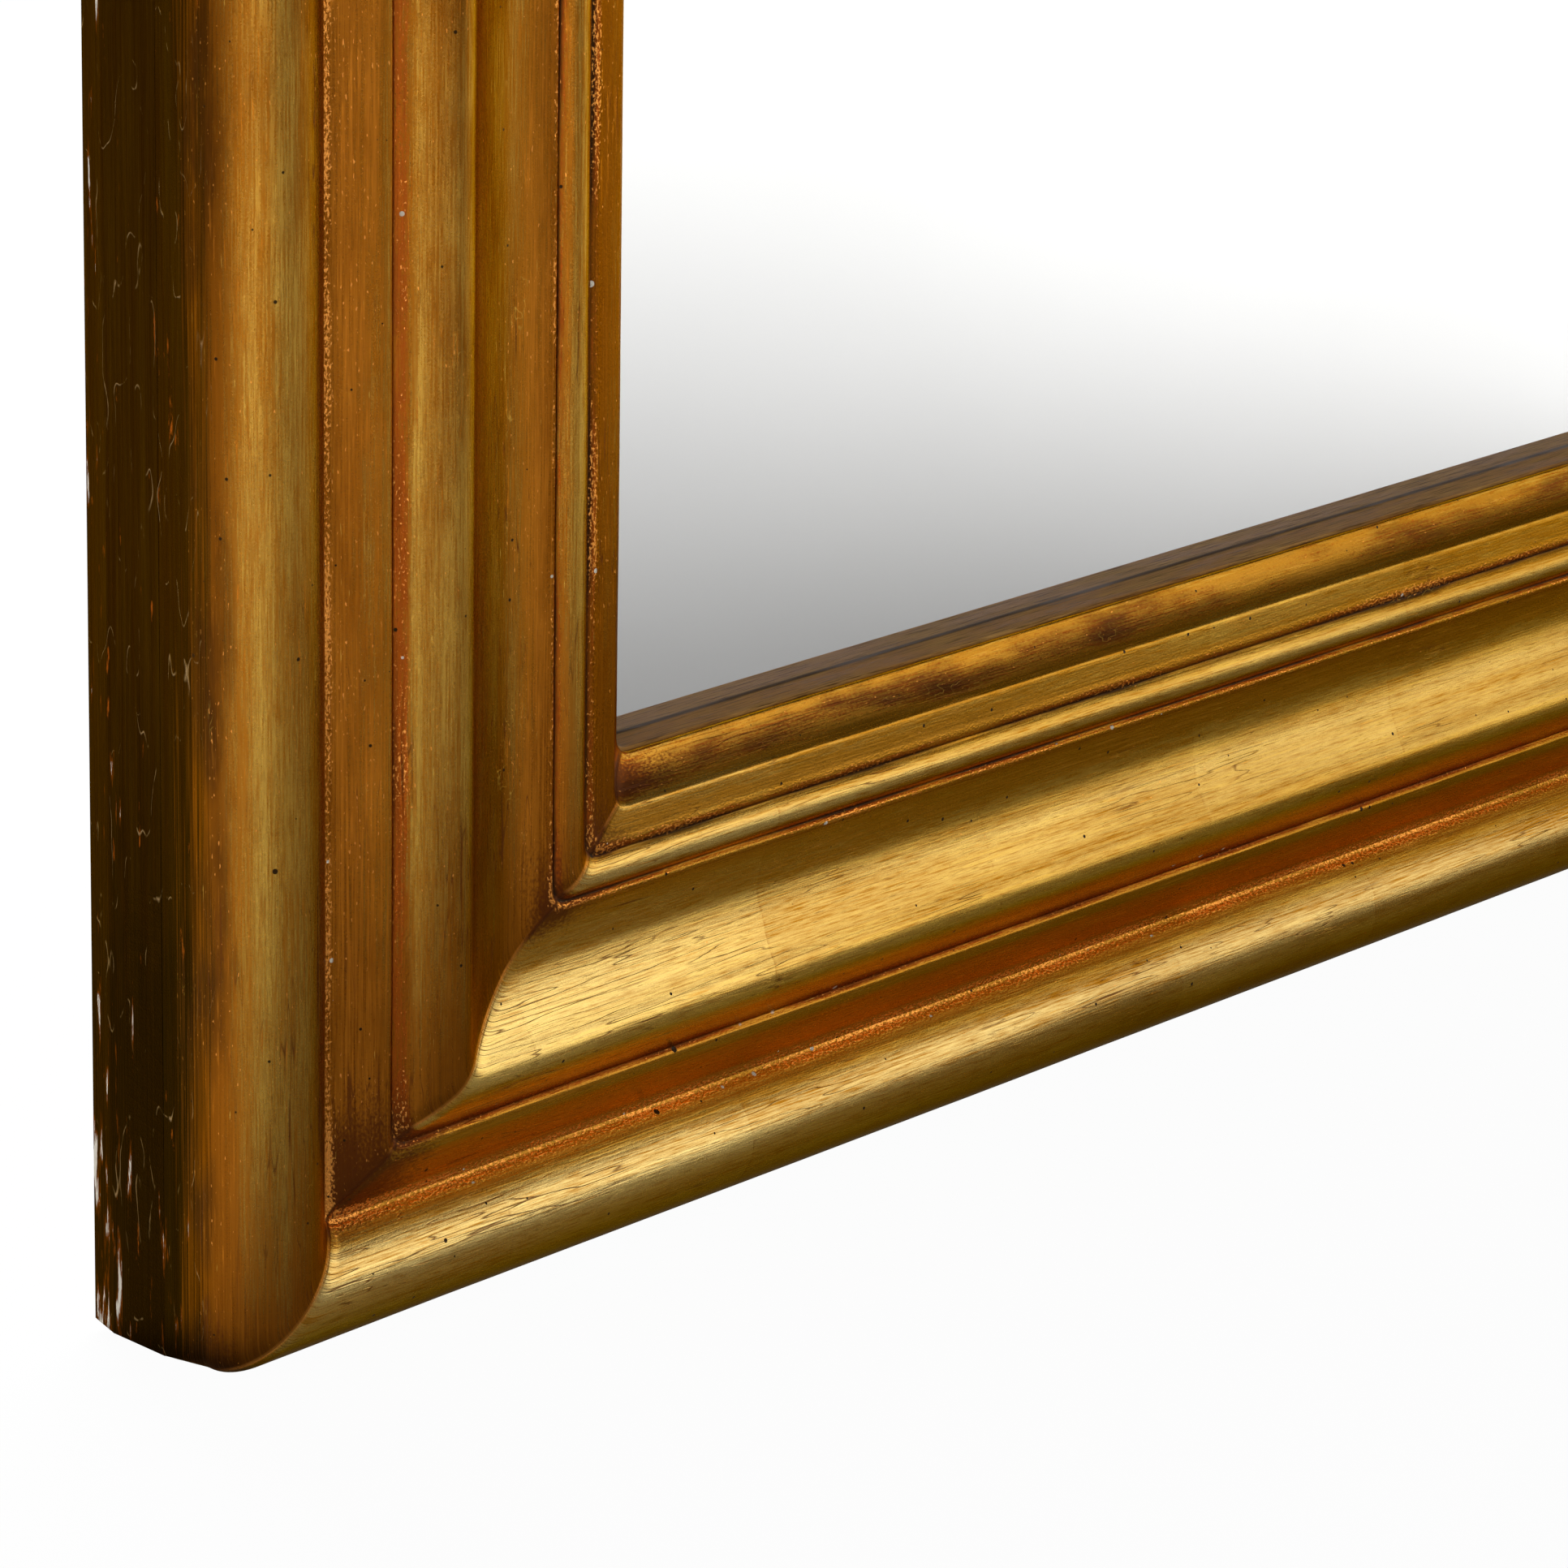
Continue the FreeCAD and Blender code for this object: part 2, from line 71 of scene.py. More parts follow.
def addNode(tree, kind, *values, out=0, sockets=None, **settings):
    # One node: values go to its inputs in order, sockets by name, settings to its properties
    new = tree.nodes.new("ShaderNode" + kind)
    for name, value in settings.items():
        setattr(new, name, value)
    pairs = [(new.inputs[i], value) for i, value in enumerate(values)]
    pairs += [(new.inputs[name], value) for name, value in (sockets or {}).items()]
    for socket, value in pairs:
        if isinstance(value, bpy.types.NodeSocket):
            tree.links.new(value, socket)
        elif value is not None:
            socket.default_value = value
    return new.outputs[out]


def newTree(name):
    material = bpy.data.materials.new(name)
    material.use_nodes = True
    material.node_tree.nodes.clear()
    return material, material.node_tree


def valueNoise(x, y, size, seed):
    # Random heights from -1 to 1 on a square lattice that repeats, with a smooth step between its points
    cells, shift = 97, 300                       # the shift keeps every place positive
    lattice = np.random.default_rng(seed).uniform(-1, 1, (cells, cells))
    x, y = x / size + shift, y / size + shift
    column, row = np.floor(x).astype(int), np.floor(y).astype(int)
    tx, ty = x - column, y - row
    tx, ty = tx * tx * (3 - 2 * tx), ty * ty * (3 - 2 * ty)
    column, row = column % cells, row % cells
    nextColumn, nextRow = (column + 1) % cells, (row + 1) % cells
    near = lattice[row, column] * (1 - tx) + lattice[row, nextColumn] * tx
    far = lattice[nextRow, column] * (1 - tx) + lattice[nextRow, nextColumn] * tx
    return near * (1 - ty) + far * ty


# Camera at the photograph's place, given from the lower left corner of the frame

cameraPlace = {
    "fromCorner": (-1.05450, -1.03699, 0.56574),
    "cornerDepth": 35.86 * mm,                   # depth of that corner from the back of the frame
    "yaw": 50.358, "pitch": -16.220, "roll": 0.983,
    "lens": 164.42, "sensor": 36, "clipEnd": 100,
}


def placeCamera(place):
    # Forward from yaw and pitch, then right and up turned round it by the roll
    yaw, pitch, roll = (math.radians(place[key]) for key in ("yaw", "pitch", "roll"))
    forward = Vector((math.sin(yaw) * math.cos(pitch), math.cos(yaw) * math.cos(pitch), math.sin(pitch)))
    level = Vector((math.cos(yaw), -math.sin(yaw), 0))
    right = level * math.cos(roll) + level.cross(forward) * math.sin(roll)
    up = right.cross(forward)
    corner = Vector((-halfWidth, frameRear - place["cornerDepth"], -halfHeight))
    data = bpy.data.cameras.new("photoCamera")
    data.lens = place["lens"]
    data.sensor_width = place["sensor"]
    data.clip_end = place["clipEnd"]
    camera = bpy.data.objects.new("photoCamera", data)
    camera.matrix_world = Matrix.Translation(corner + Vector(place["fromCorner"])) @ Matrix((
        (right.x, up.x, -forward.x), (right.y, up.y, -forward.y), (right.z, up.z, -forward.z))).to_4x4()
    bpy.context.scene.collection.objects.link(camera)
    bpy.context.scene.camera = camera


placeCamera(cameraPlace)
print("camera placed")


# Where the finish changes across the section, as pairs of inset and amount. Toning is shellac left in the
# hollows, bole is red clay showing, crumb is gesso crumbling in the quirks, rubbed is leaf rubbed pale and
# laid where the highlights fall as a painted highlight, umber is a brown glaze laid as painted shade, and
# soot is painted shade in the quirks, the sight hollow and under the roll.

giltZones = {
    "toning": [(0, 0.6), (2, 0.36), (4.5, 0.16), (9, 0.06), (20, 0.08), (24, 0.28), (28, 0.8), (31, 1.0),
               (36, 0.9), (41, 0.75), (43, 0.45), (44, 0.9), (47, 0.7), (48.5, 0.1), (53, 0.0), (62, 0.0),
               (70, 0.02), (76, 0.1), (84, 0.6), (89, 0.9), (92, 0.7), (94, 0.2), (97, 0.05), (99.5, 0.4),
               (101, 0.9), (103, 0.75), (106, 0.5), (109.8, 0.4), (112, 0.8), (116, 0.95), (118.5, 0.6),
               (120, 0.3)],
    "bole": [(0, 0.15), (8, 0.02), (24, 0.0), (27.6, 0.2), (28.6, 0.5), (30.6, 0.6), (32, 0.2), (41, 0.1),
             (43.8, 0.35), (44.6, 0.9), (46.8, 0.8), (47.6, 0.3), (49, 0.0), (85, 0.05), (89.4, 0.3),
             (90.6, 0.7), (92, 0.75), (93, 0.1), (99.6, 0.1), (100.5, 0.8), (102, 0.75), (103, 0.2),
             (109, 0.15), (110, 0.25), (112, 0.55), (116, 0.6), (118, 0.45), (120, 0.5)],
    "crumb": [(0, 0.0), (26.6, 0.1), (27.6, 1.0), (30.8, 1.05), (32.4, 0.2), (43, 0.1), (44.4, 0.6),
              (47, 0.7), (48, 0.25), (50, 0.0), (88.6, 0.05), (89.6, 0.9), (90.6, 0.9), (91.4, 0.25),
              (93, 0.05), (100, 0.1), (100.6, 0.8), (102.4, 0.9), (103.6, 0.2), (109, 0.1), (110, 0.25),
              (112, 0.0), (118.6, 0.2), (120, 0.3)],
    "rubbedAndHighlight": [(0, 0.0), (13, 0.1), (15, 0.3), (18, 0.95), (22, 1.0), (25, 0.1), (56, 0.0), (61, 0.35),
               (73, 0.45), (79, 0.0), (93, 0.0), (95, 0.5), (98, 0.3), (100, 0.0), (103, 0.0), (106, 0.15),
               (109.5, 0.2), (110.5, 0.0)],
    "umberAndShade": [(0, 0.6), (2.5, 0.3), (4, 0.35), (7, 0.3), (10, 0.3), (14, 0.45), (22, 0.42), (28, 0.3),
              (34, 0.15), (42, 0.05), (47, 0.3), (52, 0.55), (58, 0.5), (64, 0.4), (70, 0.6), (75, 0.65),
              (80, 0.35), (84, 0.05), (88, 0.05), (91, 0.35), (96, 0.3), (103, 0.6), (120, 0.6)],
    "sootAndShade": [(0, 0.4), (3, 0.15), (6, 0.05), (9, 0.0), (27.5, 0.05), (28.6, 0.2), (30, 0.05), (43.8, 0.05),
             (44.7, 0.5), (45.4, 0.2), (46.5, 0.05), (90.8, 0.0), (91.3, 0.8), (91.9, 0.4), (92.4, 0.05),
             (99.2, 0.1), (100.4, 0.8), (101.2, 0.4), (102, 0.05), (111, 0.15), (113, 0.42), (117, 0.38),
             (120, 0.2)],
}

# Sections of the mouldings in millimetres: depth from the back of the frame, inset from its outer edge.
# A run is the end of a straight line, or the middle and the end of an arc.

outerMoulding = {
    "start": (24.0, 0.75),
    "runs": [
        ((38.0, 0.0),),                          # sloping side
        ((45.2, 1.6), (51.0, 6.0)),              # roll
        ((54.2, 15.8), (50.6, 24.0)),
        ((48.4, 26.5), (46.3, 28.15)),
        ((45.6, 28.65), (45.35, 29.3)),          # gesso in the quirk
    ],
    "behind": [(34.0, 29.3), (24.0, 29.3), (24.0, 15.0)],
    "columns": 84,                               # points kept along the runs
    "arris": 0.45,                               # how far gesso softens the arrises
    "zones": giltZones,
}
innerMoulding = {
    "start": (45.35, 29.3),
    "runs": [
        ((45.6, 30.8), (46.2, 32.2)),            # gesso in the quirk
        ((51.7, 41.1),), ((52.4, 43.7),),        # splay
        ((51.2, 44.8),), ((53.7, 47.3),),        # step
        ((58.05, 51.3), (60.9, 55.0)),           # ogee
        ((61.5, 57.9), (60.0, 61.8)),
        ((56.4, 69.8), (54.8, 77.4)),
        ((55.5, 83.9), (57.9, 90.4)),
        ((56.8, 91.4),), ((58.0, 92.3),),        # quirk
        ((60.4, 96.3), (58.3, 100.2)),           # bead
        ((59.1, 101.5),), ((59.1, 109.8),),      # sight fillet
        ((54.3, 113.9), (51.4, 119.2)),          # sight hollow
        ((49.9, 119.2),), ((49.9, 118.0),),      # lip
    ],
    "behind": [(49.9, 107.0), (37.0, 107.0), (24.0, 107.0), (24.0, 68.0), (24.0, 29.3), (34.0, 29.3)],
    "columns": 150,
    "arris": 0.45,
    "zones": giltZones,
}
slipStrip = {
    "start": (40.4, 119.9),
    "runs": [((49.8, 119.9),), ((49.8, 117.5),)],
    "behind": [(49.8, 107.1), (40.4, 107.1)],
    "columns": 26,
    "arris": 0.3,
    "zones": {},
}
handwork = {
    "mitreRound": 5.0, "leastRound": 0.2,        # how far the gesso rounds the mitres, in front and behind
    "roundStart": 24, "roundReach": 12,          # depth where that rounding starts, and how soon it is full
    "wander": 0.22, "wanderLength": 130,         # slow in-and-out of the long lines
    "wanderFade": 60,                            # how far from a mitre it takes to grow
    "longSwell": 0.22, "longSize": 46,           # unevenness of the gesso
    "shortSwell": 0.07, "shortSize": 9,
    "swellStart": 30, "swellReach": 8,           # depth where it starts, and how soon it is full
    "wanderSeed": 11, "longSeed": 3, "shortSeed": 4,
    "firstRow": 0.3, "rowGrowth": 1.16, "rowSpacing": 2.4, "mostGrowth": 60,
    "lineSpacing": 0.2,                          # between the points that a section is worked out on
    "turnWeight": 4,                             # millimetres of outline that a turn of one radian counts for
    "sharpAngle": 50,
    "sideShift": 2.0, "startShift": 1.3,         # so that no two lengths show the same part of a pattern
    "ageAndShade": {"bottom": 0.0, "left": 1.0, "top": 0.4, "right": 0.8},   # painted shade: how much darker and browner each side is drawn, most on the sides away from the light
}
sideTurns = {"bottom": 0, "left": 1, "top": 2, "right": 3}           # quarter turns from the bottom rail


def runPoints(start, runs):
    # Straight runs divide evenly; an arc's centre is equally far from its three points
    spacing = handwork["lineSpacing"]
    here = np.array(start)
    pieces = [here[None]]
    for run in runs:
        end = np.array(run[-1])
        if len(run) == 1:
            count = max(2, round(np.linalg.norm(end - here) / spacing))
            pieces.append(here + (end - here) * np.linspace(0, 1, count + 1)[1:, None])
        else:
            middle = np.array(run[0])
            values = [middle @ middle - here @ here, end @ end - here @ here]
            centre = np.linalg.solve(2 * np.array([middle - here, end - here]), values)
            spokes = np.array([here, middle, end]) - centre
            angles = np.unwrap(np.arctan2(spokes[:, 1], spokes[:, 0]))
            radius = np.linalg.norm(spokes[0])
            count = max(3, round(abs(angles[2] - angles[0]) * radius / spacing))
            turn = np.linspace(angles[0], angles[2], count + 1)[1:]
            pieces.append(centre + radius * np.column_stack([np.cos(turn), np.sin(turn)]))
        here = end
    return np.concatenate(pieces)


def softened(points, reach):
    # Each point becomes the bell-weighted mean of its neighbours as far as three times the reach,
    # which rounds the arrises as gesso does
    spacing = handwork["lineSpacing"]
    count = math.ceil(3 * reach / spacing)
    weights = np.exp(-(np.arange(-count, count + 1) * spacing / reach) ** 2 / 2)
    before = 2 * points[0] - points[count:0:-1]
    after = 2 * points[-1] - points[-2:-count - 2:-1]
    longer = np.concatenate([before, points, after])
    return np.column_stack([np.convolve(longer[:, i], weights / weights.sum(), "valid") for i in (0, 1)])


def thinned(points, count):
    # Keeps count points, closer together where the outline turns
    steps = np.diff(points, axis=0)
    turns = np.abs(np.diff(np.unwrap(np.arctan2(steps[:, 1], steps[:, 0])), prepend=0))
    turns[0] = 0
    lengths = np.linalg.norm(steps, axis=1) + handwork["turnWeight"] * turns
    place = np.concatenate([[0], np.cumsum(lengths)])
    share = np.linspace(0, place[-1], count)
    return np.column_stack([np.interp(share, place, points[:, i]) for i in (0, 1)])


def rowShares(length):
    # Shares of the length, close together at both mitres and growing to the ordinary spacing
    growth = handwork["firstRow"] * handwork["rowGrowth"] ** np.arange(handwork["mostGrowth"])
    growth = growth[growth < handwork["rowSpacing"]]
    near = np.concatenate([[0], np.cumsum(growth)])
    count = math.ceil((length - 2 * near[-1]) / handwork["rowSpacing"])
    middle = np.linspace(near[-1], length - near[-1], count + 1)[1:-1]
    return np.concatenate([near, middle, length - near[::-1]]) / length


def sweepSide(side, loop):
    # A point at inset u keeps that inset along the side, and near a mitre it moves in by
    # (sqrt(k) - sqrt(g))^2, with g its distance past the mitre and k the rounding, so that the
    # line turns the corner in a small curve and meets the mitre plane squarely.
    hand = handwork
    across, along = (halfWidth, halfHeight) if side in ("bottom", "top") else (halfHeight, halfWidth)
    length = 2 * across / mm
    depth, inset = loop[:, 0], loop[:, 1]
    k = np.clip((depth - hand["roundStart"]) / hand["roundReach"], 0, 1)
    k = hand["mitreRound"] * k + hand["leastRound"]
    share = rowShares(length - 2 * inset.max())[:, None]
    run = inset + k / 4 + share * (length - 2 * inset - k / 2)
    past = np.minimum(run, length - run) - inset
    lift = np.maximum(np.sqrt(k) - np.sqrt(past), 0) ** 2
    fade = np.clip((past - k) / hand["wanderFade"], 0, 1) ** 2
    seed = hand["wanderSeed"] + sideTurns[side]
    wander = 0.5 + 0.5 * valueNoise(run, run * 0, hand["wanderLength"], seed)
    rise = inset + lift + hand["wander"] * wander * fade
    a, b = run * mm - across, rise * mm - along
    x, z = [(a, b), (b, -a), (-a, -b), (-b, a)][sideTurns[side]]
    swell = hand["longSwell"] * (valueNoise(x / mm, z / mm, hand["longSize"], hand["longSeed"]) - 1) / 2
    swell += hand["shortSwell"] * (valueNoise(x / mm, z / mm, hand["shortSize"], hand["shortSeed"]) - 1) / 2
    front = np.clip((depth - hand["swellStart"]) / hand["swellReach"], 0, 1)
    y = frameRear - (depth + swell * front) * mm
    return np.stack([x, y, z], axis=-1), run, past - k / 4


def closedMember(name, side, spec):
    # The section's loop carried along one side between its two mitres, with both ends capped
    front = thinned(softened(runPoints(spec["start"], spec["runs"]), spec["arris"]), spec["columns"])
    loop = np.concatenate([front, spec["behind"]])
    points, run, fromMitre = sweepSide(side, loop)
    rows, columns = run.shape
    index = np.arange(rows * columns).reshape(rows, columns)
    nextColumn = np.roll(index, -1, axis=1)
    quads = np.stack([index[:-1], index[1:], nextColumn[1:], nextColumn[:-1]], axis=-1).reshape(-1, 4)
    faces = quads.tolist() + [index[0].tolist(), index[-1][::-1].tolist()]
    mesh = bpy.data.meshes.new(name)
    mesh.from_pydata(points.reshape(-1, 3), [], faces)
    # the leaf map: metres along the side, and metres walked round the section
    walk = np.concatenate([[0], np.cumsum(np.linalg.norm(np.diff(loop, axis=0), axis=1))])
    walk = walk + loop[0, 1] * handwork["startShift"]
    flat = np.stack([run, np.broadcast_to(walk, run.shape)], axis=-1).reshape(-1, 2) * mm
    flat[:, 0] += sideTurns[side] * handwork["sideShift"]
    corners = np.empty(len(mesh.loops), dtype=np.int64)
    mesh.loops.foreach_get("vertex_index", corners)
    mesh.uv_layers.new(name="leaf").data.foreach_set("uv", flat[corners].ravel())
    # what the finishes read: millimetres from the mitre, each side's painted shade, and the zones across the
    # section
    values = {"mitre": fromMitre, "ageAndShade": handwork["ageAndShade"][side]}
    values.update({zone: np.interp(loop[:, 1], *zip(*pairs)) for zone, pairs in spec["zones"].items()})
    for label, value in values.items():
        attribute = mesh.attributes.new(label, "FLOAT", "POINT")
        attribute.data.foreach_set("value", np.broadcast_to(value, run.shape).astype(np.float32).ravel())
    mesh.polygons.foreach_set("use_smooth", np.ones(len(mesh.polygons), dtype=bool))
    mesh.set_sharp_from_angle(angle=math.radians(handwork["sharpAngle"]))
    mesh.update()
    piece = bpy.data.objects.new(name, mesh)
    bpy.context.scene.collection.objects.link(piece)
    return piece


giltPieces, slipPieces = [], []
for side in sideTurns:
    for label, spec, group in (("outer_moulding", outerMoulding, giltPieces),
                               ("inner_moulding", innerMoulding, giltPieces),
                               ("slip", slipStrip, slipPieces)):
        piece = closedMember(f"{side}{label.title().replace('_', '')}", side, spec)
        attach(piece, "frame")
        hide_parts(f"{side}_{label}")
        group.append(piece)
print("mouldings swept:", sum(len(piece.data.polygons) for piece in giltPieces + slipPieces), "faces")


# Coordinates and patterns that several finishes share

def frameCoords(tree):
    # Along the side, depth from the back and inset from the nearest outer edge, in metres, on any piece
    place = addNode(tree, "TexCoord", out=3)
    x, y, z = (addNode(tree, "SeparateXYZ", place, out=i) for i in range(3))
    fromMiddle = [addNode(tree, "Math", value, operation="ABSOLUTE") for value in (x, z)]
    fromSide = addNode(tree, "Math", halfWidth, fromMiddle[0], operation="SUBTRACT")
    fromEnd = addNode(tree, "Math", halfHeight, fromMiddle[1], operation="SUBTRACT")
    inset = addNode(tree, "Math", fromSide, fromEnd, operation="MINIMUM")
    onRail = addNode(tree, "Math", fromEnd, fromSide, operation="LESS_THAN")
    along = addNode(tree, "Mix", onRail, None, z, x, data_type="FLOAT")
    depth = addNode(tree, "Math", frameRear, y, operation="SUBTRACT")
    return along, depth, inset


def addPatterns(tree, place, patterns):
    # One noise for each pattern: its length and width in millimetres, its detail and its roughness.
    # Each is shifted by its number, so that no two fall together.
    fields = {}
    for number, (name, (length, width, detail, rough)) in enumerate(patterns.items()):
        vector = addNode(tree, "Mapping", sockets={
            "Vector": place, "Location": (3.1 * number, 1.7 * number, 0),
            "Scale": (1 / (length * mm), 1 / (width * mm), 1 / (width * mm))})
        fields[name] = addNode(tree, "TexNoise", sockets={
            "Vector": vector, "Scale": 1, "Detail": detail, "Roughness": rough})
    return fields


def addWeighted(tree, start, pairs):
    # The start plus each field times its part
    for field, part in pairs:
        start = addNode(tree, "Math", field, part, start, operation="MULTIPLY_ADD")
    return start


def addLayers(tree, colour, layers):
    # Each layer's colour laid over the last by its mask
    for mask, layer in layers:
        colour = addNode(tree, "MixRGB", mask, colour, linear(layer) if isinstance(layer, str) else layer)
    return colour


def addSurface(tree, colour, metal, rough, height, gloss=0.3, edge="#FFFFFF"):
    # The shader and its output; height is in millimetres
    normal = addNode(tree, "Bump", sockets={"Strength": 1, "Distance": mm, "Height": height})
    shader = addNode(tree, "BsdfPrincipled", sockets={
        "Base Color": colour, "Metallic": metal, "Roughness": rough, "Normal": normal,
        "Specular IOR Level": gloss, "Specular Tint": linear(edge) if isinstance(edge, str) else edge})
    tree.links.new(shader, tree.nodes.new("ShaderNodeOutputMaterial").inputs["Surface"])


# In every finish below, patterns give each noise's length, width, detail and roughness, and ranges give
# the values between which a mask grows and what it grows from and to.

# Brown-black toning over gesso on the frame's sides: dull and streaked, rubbed to orange in places,
# chipped to white gesso along the rear arris and at the foot

tonedSides = {
    "ground": "#361E03", "olive": "#442C05", "black": "#161004", "rub": "#A4531A", "dust": "#A98A62",
    "gesso": "#EFE6D6", "edge": "#EACA92",
    "patterns": {"streak": (80, 1.4, 4, 0.6), "rub": (16, 2.4, 5, 0.65), "chip": (24, 2.3, 5, 0.6),
                 "dust": (5, 5, 5, 0.7), "scratch": (34, 9, 2, 0.5)},
    "ranges": {
        "streak": (0.4, 0.68, 0, 1), "rub": (0.66, 0.71, 0, 0.9), "dust": (0.70, 0.76, 0, 0.8),
        "arris": (12 * mm, 6 * mm, 0, 0.055), "front": (8 * mm, 30 * mm, 0, -0.06),       # by depth
        "foot": (100 * mm - halfHeight, -5 * mm - halfHeight, 0, 0.12),                   # by height
        "lower": (130 * mm - halfHeight, 30 * mm - halfHeight, 0, 0.8),
        "chip": (0.72, 0.74, 0, 1), "halo": (0.67, 0.73, 0, 0.6),
        "scratchLine": (0.0, 0.006, 1, 0), "scratchPlace": (0.5, 0.6, 0, 0.8),
    },
}


def tonedSide(tree, look):
    ranges = look["ranges"]
    along, depth, inset = frameCoords(tree)
    flat = addNode(tree, "CombineXYZ", along, depth, inset)
    field = addPatterns(tree, flat, look["patterns"])
    streak, rub, dust = (
        addNode(tree, "MapRange", field[name], *ranges[name]) for name in ("streak", "rub", "dust"))
    # chips are likeliest along the rear arris and at the foot, and rare towards the roll
    arris, front = (addNode(tree, "MapRange", depth, *ranges[name]) for name in ("arris", "front"))
    foot = addNode(tree, "MapRange", along, *ranges["foot"], interpolation_type="SMOOTHERSTEP")
    chance = addWeighted(tree, field["chip"], [(arris, 1.0), (foot, 1.0), (front, 1.0)])
    chip, halo = (addNode(tree, "MapRange", chance, *ranges[name]) for name in ("chip", "halo"))
    # the side is blacker low down
    lower = addNode(tree, "MapRange", addWeighted(tree, along, [(field["rub"], -0.1)]), *ranges["lower"])
    # a scratch is where its noise passes through the middle value
    line = addNode(tree, "Math", field["scratch"], 0.5, operation="SUBTRACT")
    line = addNode(tree, "Math", line, operation="ABSOLUTE")
    line = addNode(tree, "MapRange", line, *ranges["scratchLine"])
    scratchPlace = addNode(tree, "MapRange", field["rub"], *ranges["scratchPlace"])
    scratch = addNode(tree, "Math", line, scratchPlace, operation="MULTIPLY")
    colour = addNode(tree, "MixRGB", streak, linear(look["ground"]), linear(look["olive"]))
    colour = addLayers(tree, colour, [
        (lower, look["black"]), (rub, look["rub"]), (scratch, look["dust"]), (dust, look["dust"]),
        (halo, look["rub"]), (chip, look["gesso"])])
    height = addWeighted(tree, field["streak"], [(chip, -3.0), (rub, -0.5), (scratch, -1.0)])
    return colour, chip, height


# Leaf gilding over red bole and gesso: a satin metal that warms to orange where shellac toning gathers,
# shows red clay and crumbling gesso in the quirks, and has fine lengthwise lines from the wood's pores.
# Real pores, flecks and burnishing lines are about 0.1 mm wide, too fine to show, so streak, grain, dash,
# nick and fleck are drawn 0.4 to 0.6 mm wide.

gilding = {
    # the pale leaf colour is the painted highlight
    "leaf": "#DAAF4C", "rubbedHighlightLeaf": "#F0D284", "thinLeaf": "#A86E16",
    "shellac": "#88480B", "paleShellac": "#CE7E24", "youngShellac": "#D0983C",
    "bole": "#BC5812", "deepBole": "#602E0E", "sootAndShade": "#241203", "umberAndShade": "#6C3A06", "hair": "#7A4A12",
    "gesso": "#EFE6D4", "crumb": "#F4A048",
    "edge": "#EACA92",                           # old leaf stays warm where it is seen edge on
    "patterns": {"streak": (45, 0.55, 3, 0.5), "band": (150, 6.0, 3, 0.45), "fleck": (0.5, 0.5, 3, 0.7),
                 "patch": (38, 13, 4, 0.5), "pore": (46, 2.2, 1, 0.5), "crumb": (1.0, 0.6, 3, 0.55),
                 "dash": (7, 0.45, 2, 0.5), "nick": (1.7, 0.6, 2, 0.5), "grain": (9, 0.4, 3, 0.6),
                 "scratch": (7, 5, 2, 0.5), "rub": (16, 0.9, 5, 0.65)},
    "leafLength": 84 * mm,
    "dots": [(13 * mm, 0.45 * mm, 0.5), (70 * mm, 0.8 * mm, 0.6)],       # spacing, radius, share left out
    "lumps": (11 * mm, 0.75 * mm, 0.7),
    "mitreRanges": {                             # by millimetres from the mitre
        # the first three ranges: painted shade near the mitres, painted shade far along the sides, and a
        # painted highlight near the mitres
        "low": (0, 220, 0.14, 0), "far": (90, 300, 0, 0.6), "mitreHighlight": (15, 170, 0.3, 0),
        "corner": (0, 16, 1, 0), "brown": (0, 60, 0.7, 0.05), "mitreHollowDark": (0, 34, 1.1, 0),
        "pore": (0, 170, 0.2, 0), "seam": (0.2, 0.7, 1, 0),
    },
    "ranges": {
        "lapLine": (0.0, 0.012, 0.5, 0), "lapPlace": (0.45, 0.6, 0, 1), "thin": (0.36, 0.96, 0, 1),
        "rubbedAndHighlight": (0.1, 0.9, 0, 1), "hair": (0.41, 0.31, 0, 0.75), "wash": (0.3, 1.2, 0, 0.92),
        "mitreHollowDark": (0.4, 0.8, 0, 0.9), "foot": (13 * mm - halfHeight, 2 * mm - halfHeight, 0, 0.7),
        "clay": (0.5, 0.85, 0, 0.95), "rub": (0.62, 0.7, 0, 0.75), "crumb": (0.98, 1.2, 0, 1),
        "dirtAndShade": (0.3, 0.75, 0, 0.95), "poreLine": (0.0, 0.012, 1, 0), "porePlace": (0.58, 0.75, 0, 0.85),
        "nick": (0.735, 0.775, 0, 0.8), "dash": (0.73, 0.78, 0, 0.85), "scratchLine": (0.0, 0.012, 1, 0),
        "scratchPlace": (0.64, 0.70, 0, 0.5), "lumpPlace": (0.55, 0.7, 0, 1),
        "seamPlace": (0.0, 0.6, 0.3, 0.95), "seamDirt": (0.2, 0.6, 0, 1), "tone": (0.3, 0.76, 0, 1),
        "young": (0.0, 0.7, 0.75, 0), "side": (41 * mm, 31 * mm, 0, 1), "rough": (0.3, 0.7, 0.21, 0.31),
    },
}


